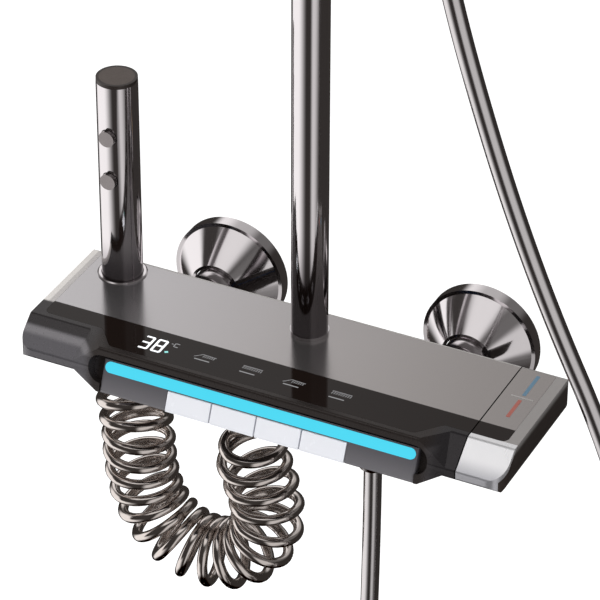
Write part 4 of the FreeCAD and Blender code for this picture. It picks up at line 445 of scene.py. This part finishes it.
# Buttons of the sprayer: two small metal caps under dark chrome, satin so that they mirror softly. Each
# slides in a hole of the tube and pushes a valve inside it.
dress(Finish("dark_chrome_cap", lambda p: p.noise(300.0).mixed(shade(158, 152, 152), shade(168, 162, 162)), 1.0,
             lambda p: p.noise(500.0) * 0.05 + 0.22), "upper_spray_button", "lower_spray_button")


# Casing of the shelf: one plastic moulding, satin grey, with a pale edge at the left and back of the
# panel. Its wings carry a painted highlight on the ridge under the slope, and painted shade near black by the
# handle.
def casing_colour(p):
    """Near-black nose, grey wings with painted shade and a painted highlight on the ridge, painted shade in the
    groove under the strip, pale outer edge.
    """
    high, across = p.axis("Z"), p.axis("X").sum("ABSOLUTE", p.axis("X"), 0.0)
    body = p.noise(40.0).mixed(shade(44, 38, 36), shade(52, 46, 44))
    # painted light: the wing's front face grows lighter towards its foot
    wing = high.step(0.002, -0.009).mixed(shade(92, 90, 94), shade(114, 112, 117))
    # painted shade on the slope above the ridge
    wing = high.step(0.0122, 0.0140).mixed(wing, shade(54, 51, 52))
    # painted highlight along the ridge
    ridge_highlight = high.step(0.0092, 0.0112) * high.step(0.0138, 0.0120) * 0.75
    wing = ridge_highlight.mixed(wing, shade(136, 133, 136))
    # painted shade: the wing by the handle is near black
    wing = p.axis("X").step(0.088, 0.104).mixed(wing, shade(44, 41, 43))
    body = across.step(0.094, 0.102).mixed(body, wing)
    # painted shade in the groove under the strip, tinted blue by the light bar's glow
    groove_shade = high.step(0.0070, 0.0073) * high.step(0.0096, 0.0088) * across.step(0.0915, 0.0905)
    body = (groove_shade * p.axis("Y").step(-0.1236, -0.1226)).mixed(body, shade(15, 40, 70))
    beside = p.axis("X").step(-0.1338, -0.1342) * p.axis("Y").step(-0.0965, -0.0945)
    outside = high.sum("MAXIMUM", beside, p.axis("Y").step(-0.0420, -0.0412)) * high.step(0.0166, 0.0169)
    edge = p.axis("X").step(-0.1372, -0.1378).mixed(shade(204, 200, 198), shade(240, 236, 232))
    return outside.mixed(body, edge)


grey = Finish("satin_grey", casing_colour, 0.4, lambda p: p.noise(400.0) * 0.08 + 0.24,
              lambda p: p.noise(1500.0), 0.000004)
dress(grey, "casing")

# Key block: a moulded block of grey plastic on the sloping face of the nose, which guides the four
# keys. Painted shade makes it darker at its top, under the light bar.
dress(Finish("block_grey_painted_shade",
             # painted shade: darker towards the top, lighter towards the foot
             lambda p: p.axis("Z").step(0.004, -0.010).mixed(shade(100, 98, 103), shade(126, 124, 128)),
             0.3, lambda p: p.noise(400.0) * 0.08 + 0.30), "key_block")

# Lower housing: a tray of dark brown-black plastic, screwed to the casing from below. The core of the
# handle is the same, and pale silver-grey over the top of its rim and end face.
dress(Finish("dark_housing", lambda p: p.noise(80.0).mixed(shade(50, 44, 43), shade(58, 51, 49)), 0.2,
             lambda p: p.noise(300.0) * 0.1 + 0.33), "lower_housing")
dress(Finish("core_paint",
             lambda p: p.axis("Z").step(0.0120, 0.0168).mixed(shade(66, 58, 55), shade(172, 168, 166)),
             0.45, lambda p: p.noise(300.0) * 0.08 + 0.28), "handle_core")

# Top panel and the plate of the handle: tempered glass with a silver back, which mirrors softly. Both
# are glued into their recesses and lie in one plane.
# Painted reflection: the colour runs from lighter at the left to darker at the right.
panel_glass = Finish("panel_glass",
                     lambda p: p.axis("X").step(-0.15, 0.14).mixed(shade(190, 188, 190), shade(172, 167, 165)),
                     0.92, lambda p: p.noise(30.0) * 0.03 + 0.17)
dress(panel_glass, "top_panel", "handle_plate")

# Display strip: black glass along the front edge, with its end on the handle as a piece of its own. It
# is glossy enough to mirror the riser sharply.
black_glass = Finish("black_glass", lambda p: p.noise(20.0).mixed(shade(26, 19, 16), shade(32, 24, 21)), 0.0,
                     lambda p: p.noise(30.0) * 0.02 + 0.03, Specular_IOR_Level=0.19)
dress(black_glass, "display_glass", "handle_glass")

# Electronics under the strip: a printed board of green laminate, and soldered to it the black module
# that lights the digits.
dress(Finish("circuit_green", lambda p: p.noise(400.0).mixed(shade(18, 66, 38), shade(26, 82, 48)), 0.0, 0.5),
      "display_board")
dress(Finish("digit_housing", lambda p: p.noise(300.0).mixed(shade(28, 28, 30), shade(36, 36, 38)), 0.0, 0.4),
      "digit_module")

# Light bar: a diffuser of opal plastic, pressed into the nose and lit cyan from behind by a strip of
# small lamps. Both glow evenly.
bar_light = Finish("bar_light", shade(20, 60, 68), 0.0, lambda p: p.noise(80.0) * 0.1 + 0.4)
bar_light.set("Emission Color", lambda p: p.noise(25.0).mixed(shade(70, 214, 241), shade(78, 218, 244)))
bar_light.set("Emission Strength", 0.96)
dress(bar_light, "light_bar", "lamp_strip")

# Keys: four caps of white gloss plastic like the keys of a piano. They hang side by side in the key
# block, each in front of its spring and valve.
white_key = Finish("white_key", lambda p: p.noise(30.0).mixed(shade(238, 240, 246), shade(243, 244, 250)), 0.0,
                   lambda p: p.noise(200.0) * 0.08 + 0.22)
dress(white_key, "key_1", "key_2", "key_3", "key_4")

# Inner metal: screws and filters of plain steel, waterways, valves and spindle of cast and turned
# brass without chrome. The thermostatic cartridge and the core of the sprayer are black plastic.
steel = Finish("plain_steel", lambda p: p.noise(150.0).mixed(shade(160, 160, 163), shade(176, 176, 178)), 1.0,
               lambda p: p.noise(200.0) * 0.15 + 0.3)
dress(steel, "housing_screws", "bracket_screws", "inlet_filters")
brass = Finish("cast_brass", lambda p: p.noise(60.0).mixed(shade(190, 150, 80), shade(205, 168, 98)), 1.0,
               lambda p: p.noise(250.0) * 0.15 + 0.3, lambda p: p.noise(900.0), 0.00003)
dress(brass, "wall_unions", "valve_body", "key_valves", "bottom_spout", "handle_spindle")
dress(Finish("black_plastic", lambda p: p.noise(200.0).mixed(shade(26, 26, 28), shade(34, 34, 36)), 0.0, 0.45),
      "thermostatic_cartridge", "spray_core")


# Springs: steel wire behind each key and each button, wound round the stem that they push back. The
# back end of each rests on its seat, so it shortens as its key goes in.
def wound_spring(node, turns, wire):
    """A round wire wound about a line along y, in the space of a CAD node: x and z go round with the turns
    and y climbs evenly between one flat turn at each end."""
    low, high = (np.array(corner, dtype=float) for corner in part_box(node))
    middle = (low + high) / 2
    share = np.linspace(0.0, 1.0, turns * 16 + 1)
    climb = np.clip((share * turns - 1) / (turns - 2), 0.0, 1.0)
    reach = (high[0] - low[0] - wire) / 2
    angle = 2 * np.pi * turns * share
    places = np.stack([middle[0] + reach * np.cos(angle), low[1] + wire / 2 + climb * (high[1] - low[1] - wire),
                       middle[2] + reach * np.sin(angle)], axis=1)
    guide = hose_curve("spring_guide", places.tolist(), wire / 2, rounds=2)
    guide.data.resolution_u = 1
    mesh = bpy.data.meshes.new_from_object(guide)
    bpy.data.objects.remove(guide)
    spring = bpy.data.objects.new(node + "_wire", mesh)
    bpy.context.scene.collection.objects.link(spring)
    mesh.materials.clear()
    mesh.materials.append(steel.material)
    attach(spring, "fixed")
    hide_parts(node)
    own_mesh(spring)


for number in (1, 2, 3, 4):
    wound_spring("key_spring_%d" % number, turns=6, wire=0.0007)
for place in ("upper", "lower"):
    wound_spring(place + "_button_spring", turns=4, wire=0.0004)

# Spray faces of the rain head and the hand shower: flat discs of dark rubber, moulded, and let into
# the undersides of their shells.
rubber = Finish("spray_rubber", lambda p: p.noise(200.0).mixed(shade(56, 56, 60), shade(66, 66, 70)), 0.0,
                lambda p: p.noise(200.0) * 0.1 + 0.5)
dress(rubber, "handset_face", "rain_head_face")


# Nozzles: soft light-grey rubber tips in rings on both spray faces. Each is a short cone that water
# leaves by its tip.
def nozzles(name, body, node, normal, rings, gap, radius, height):
    """Rubber nozzles on a spray face, in rings that stand gap apart: each is a cone of ten sides, whose
    base lies on the face and whose tip stands height out of it."""
    low, high = (np.array(corner, dtype=float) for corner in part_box(node))
    normal = np.array(normal, dtype=float)
    first = np.array([1.0, 0.0, 0.0])
    second = np.cross(normal, first)
    middle = (low + high) / 2 + normal * 0.0015
    sides = 10
    round_angles = np.linspace(0, 2 * np.pi, sides, endpoint=False)
    points, faces = [], []
    for ring in range(rings + 1):
        count = max(1, ring * 6)
        for step in range(count):
            angle = 2 * np.pi * step / count
            spot = middle + gap * ring * (first * math.cos(angle) + second * math.sin(angle))
            start = len(points)
            for stand, wide in ((-0.0005, radius), (height, radius * 0.62)):
                points += [spot + normal * stand + wide * (first * math.cos(turned) + second * math.sin(turned))
                           for turned in round_angles]
            tip = start + sides
            faces += [(start + i, start + (i + 1) % sides, tip + (i + 1) % sides, tip + i)
                      for i in range(sides)]
            faces.append(tuple(tip + i for i in range(sides)))
    piece = meshed(name, points, faces, nozzle_rubber, smooth=False)
    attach(piece, body)


nozzle_rubber = Finish("nozzle_rubber",
                       lambda p: p.noise(300.0).mixed(shade(150, 150, 155), shade(162, 162, 167)),
                       0.0, lambda p: p.noise(300.0) * 0.1 + 0.45)
handset_lean = math.radians(12)
nozzles("rain_head_nozzles", "rain_head", "rain_head_face", (0, 0, -1),
        rings=7, gap=0.0156, radius=0.0022, height=0.0016)
nozzles("handset_nozzles", "handset", "handset_face", (0, -math.cos(handset_lean), -math.sin(handset_lean)),
        rings=4, gap=0.0092, radius=0.0016, height=0.0013)


# Digits of the temperature display: a 3 and an 8 of seven-segment strokes, lit white, with a small
# degree mark beside them and a teal dot for the running water.
def flat_marks(name, strokes, finish, body="fixed", level=0.01701, thickness=0.00006):
    """Thin straight strokes on the top of the glass, each from one point to another with a width, in mm: a
    box of eight points whose long sides run along the stroke."""
    points, faces = [], []
    for x0, y0, x1, y1, wide in strokes:
        along = np.array([x1 - x0, y1 - y0])
        along = along / np.linalg.norm(along)
        across = np.array([-along[1], along[0]]) * wide / 2
        start = len(points)
        for z in (level, level + thickness):
            for x, y in ((x0, y0), (x1, y1)):
                for sign in (-1, 1):
                    spot = np.array([x, y]) + across * sign
                    points.append((spot[0] / 1000, spot[1] / 1000, z))
        box = ((0, 1, 3, 2), (4, 6, 7, 5), (0, 2, 6, 4), (1, 5, 7, 3), (0, 4, 5, 1), (2, 3, 7, 6))
        faces += [tuple(start + i for i in face) for face in box]
    marks = meshed(name, points, faces, finish, smooth=False)
    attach(marks, body)


def segments(left, shown, front=-112.6, wide=4.7, deep=10.6, stroke=1.25):
    """Strokes of one digit: a top, middle and foot bar and four side bars, those that shown names."""
    right, back, middle = left + wide, front + deep, front + deep / 2
    bars = {"top": (left, back, right, back), "middle": (left, middle, right, middle),
            "foot": (left, front, right, front),
            "left_back": (left, middle, left, back), "right_back": (right, middle, right, back),
            "left_front": (left, front, left, middle), "right_front": (right, front, right, middle)}
    return [bars[bar] + (stroke,) for bar in shown]


lit_white = Finish("lit_white", shade(230, 232, 235), 0.0, 0.4)
lit_white.set("Emission Color", lambda p: p.noise(400.0).mixed(shade(235, 240, 245), shade(245, 250, 255)))
lit_white.set("Emission Strength", 0.8)
three = ("top", "middle", "foot", "right_back", "right_front")
eight = three + ("left_back", "left_front")
flat_marks("temperature_digits", segments(-74.2, three) + segments(-66.6, eight), lit_white)
dim_white = Finish("dim_white", shade(150, 150, 152), 0.0, 0.4)
dim_white.set("Emission Color", lambda p: p.noise(400.0).mixed(shade(120, 120, 122), shade(132, 132, 134)))
dim_white.set("Emission Strength", 0.4)
flat_marks("degree_mark", [(-59.4, -102.6, -58.2, -102.6, 0.5), (-57.2, -101.6, -54.9, -101.6, 0.5),
                           (-57.4, -104.6, -57.4, -101.6, 0.5), (-57.2, -104.6, -54.9, -104.6, 0.5)], dim_white)
teal = Finish("lit_teal", shade(120, 200, 196), 0.0, 0.4)
teal.set("Emission Color", lambda p: p.noise(400.0).mixed(shade(150, 220, 214), shade(160, 226, 220)))
teal.set("Emission Strength", 0.6)
flat_marks("water_dot", [(-59.2, -111.2, -57.6, -110.2, 1.5)], teal)

# Signs over the keys, printed on the glass strip: a slanted arm with spray, or a row of falling drops,
# and under each a thin line.
sign_strokes = []
for middle, hand in ((-37.3, True), (-10.9, False), (14.5, True), (40.6, False)):
    if hand:
        sign_strokes.append((middle - 6.4, -107.6, middle - 2.6, -104.2, 0.35))
        sign_strokes.append((middle - 2.6, -104.2, middle + 5.4, -104.6, 0.4))
        sign_strokes += [(middle - 1.8 + drop * 1.2, -106.6, middle - 1.4 + drop * 1.2, -105.0, 0.4)
                         for drop in range(6)]
    else:
        sign_strokes.append((middle - 5.6, -103.6, middle + 5.6, -103.6, 0.4))
        sign_strokes += [(middle - 5.2 + drop * 1.3, -106.2, middle - 4.9 + drop * 1.3, -104.2, 0.4)
                         for drop in range(9)]
    sign_strokes.append((middle - 5.4, -109.2, middle + 3.4, -109.2, 0.7))
flat_marks("key_signs", sign_strokes, dim_white)

# Marks on the handle plate, printed on the glass: red for warmer, blue for cooler, and a faint line
# between them.
red_paint = Finish("red_paint", lambda p: p.noise(500.0).mixed(shade(176, 96, 84), shade(186, 106, 94)),
                   0.0, 0.35)
blue_paint = Finish("blue_paint", lambda p: p.noise(500.0).mixed(shade(96, 132, 156), shade(106, 142, 166)),
                    0.0, 0.35)
pale_paint = Finish("pale_paint", lambda p: p.noise(500.0).mixed(shade(176, 172, 170), shade(184, 180, 178)),
                    0.0, 0.35)
for name, stroke, paint in (("warm_mark", (124.8, -85.0, 124.8, -68.5, 2.0), red_paint),
                            ("cool_mark", (124.8, -64.0, 124.8, -44.5, 2.0), blue_paint),
                            ("middle_mark", (118.6, -66.2, 131.0, -66.2, 0.8), pale_paint)):
    flat_marks(name, [stroke], paint, "temperature_handle")
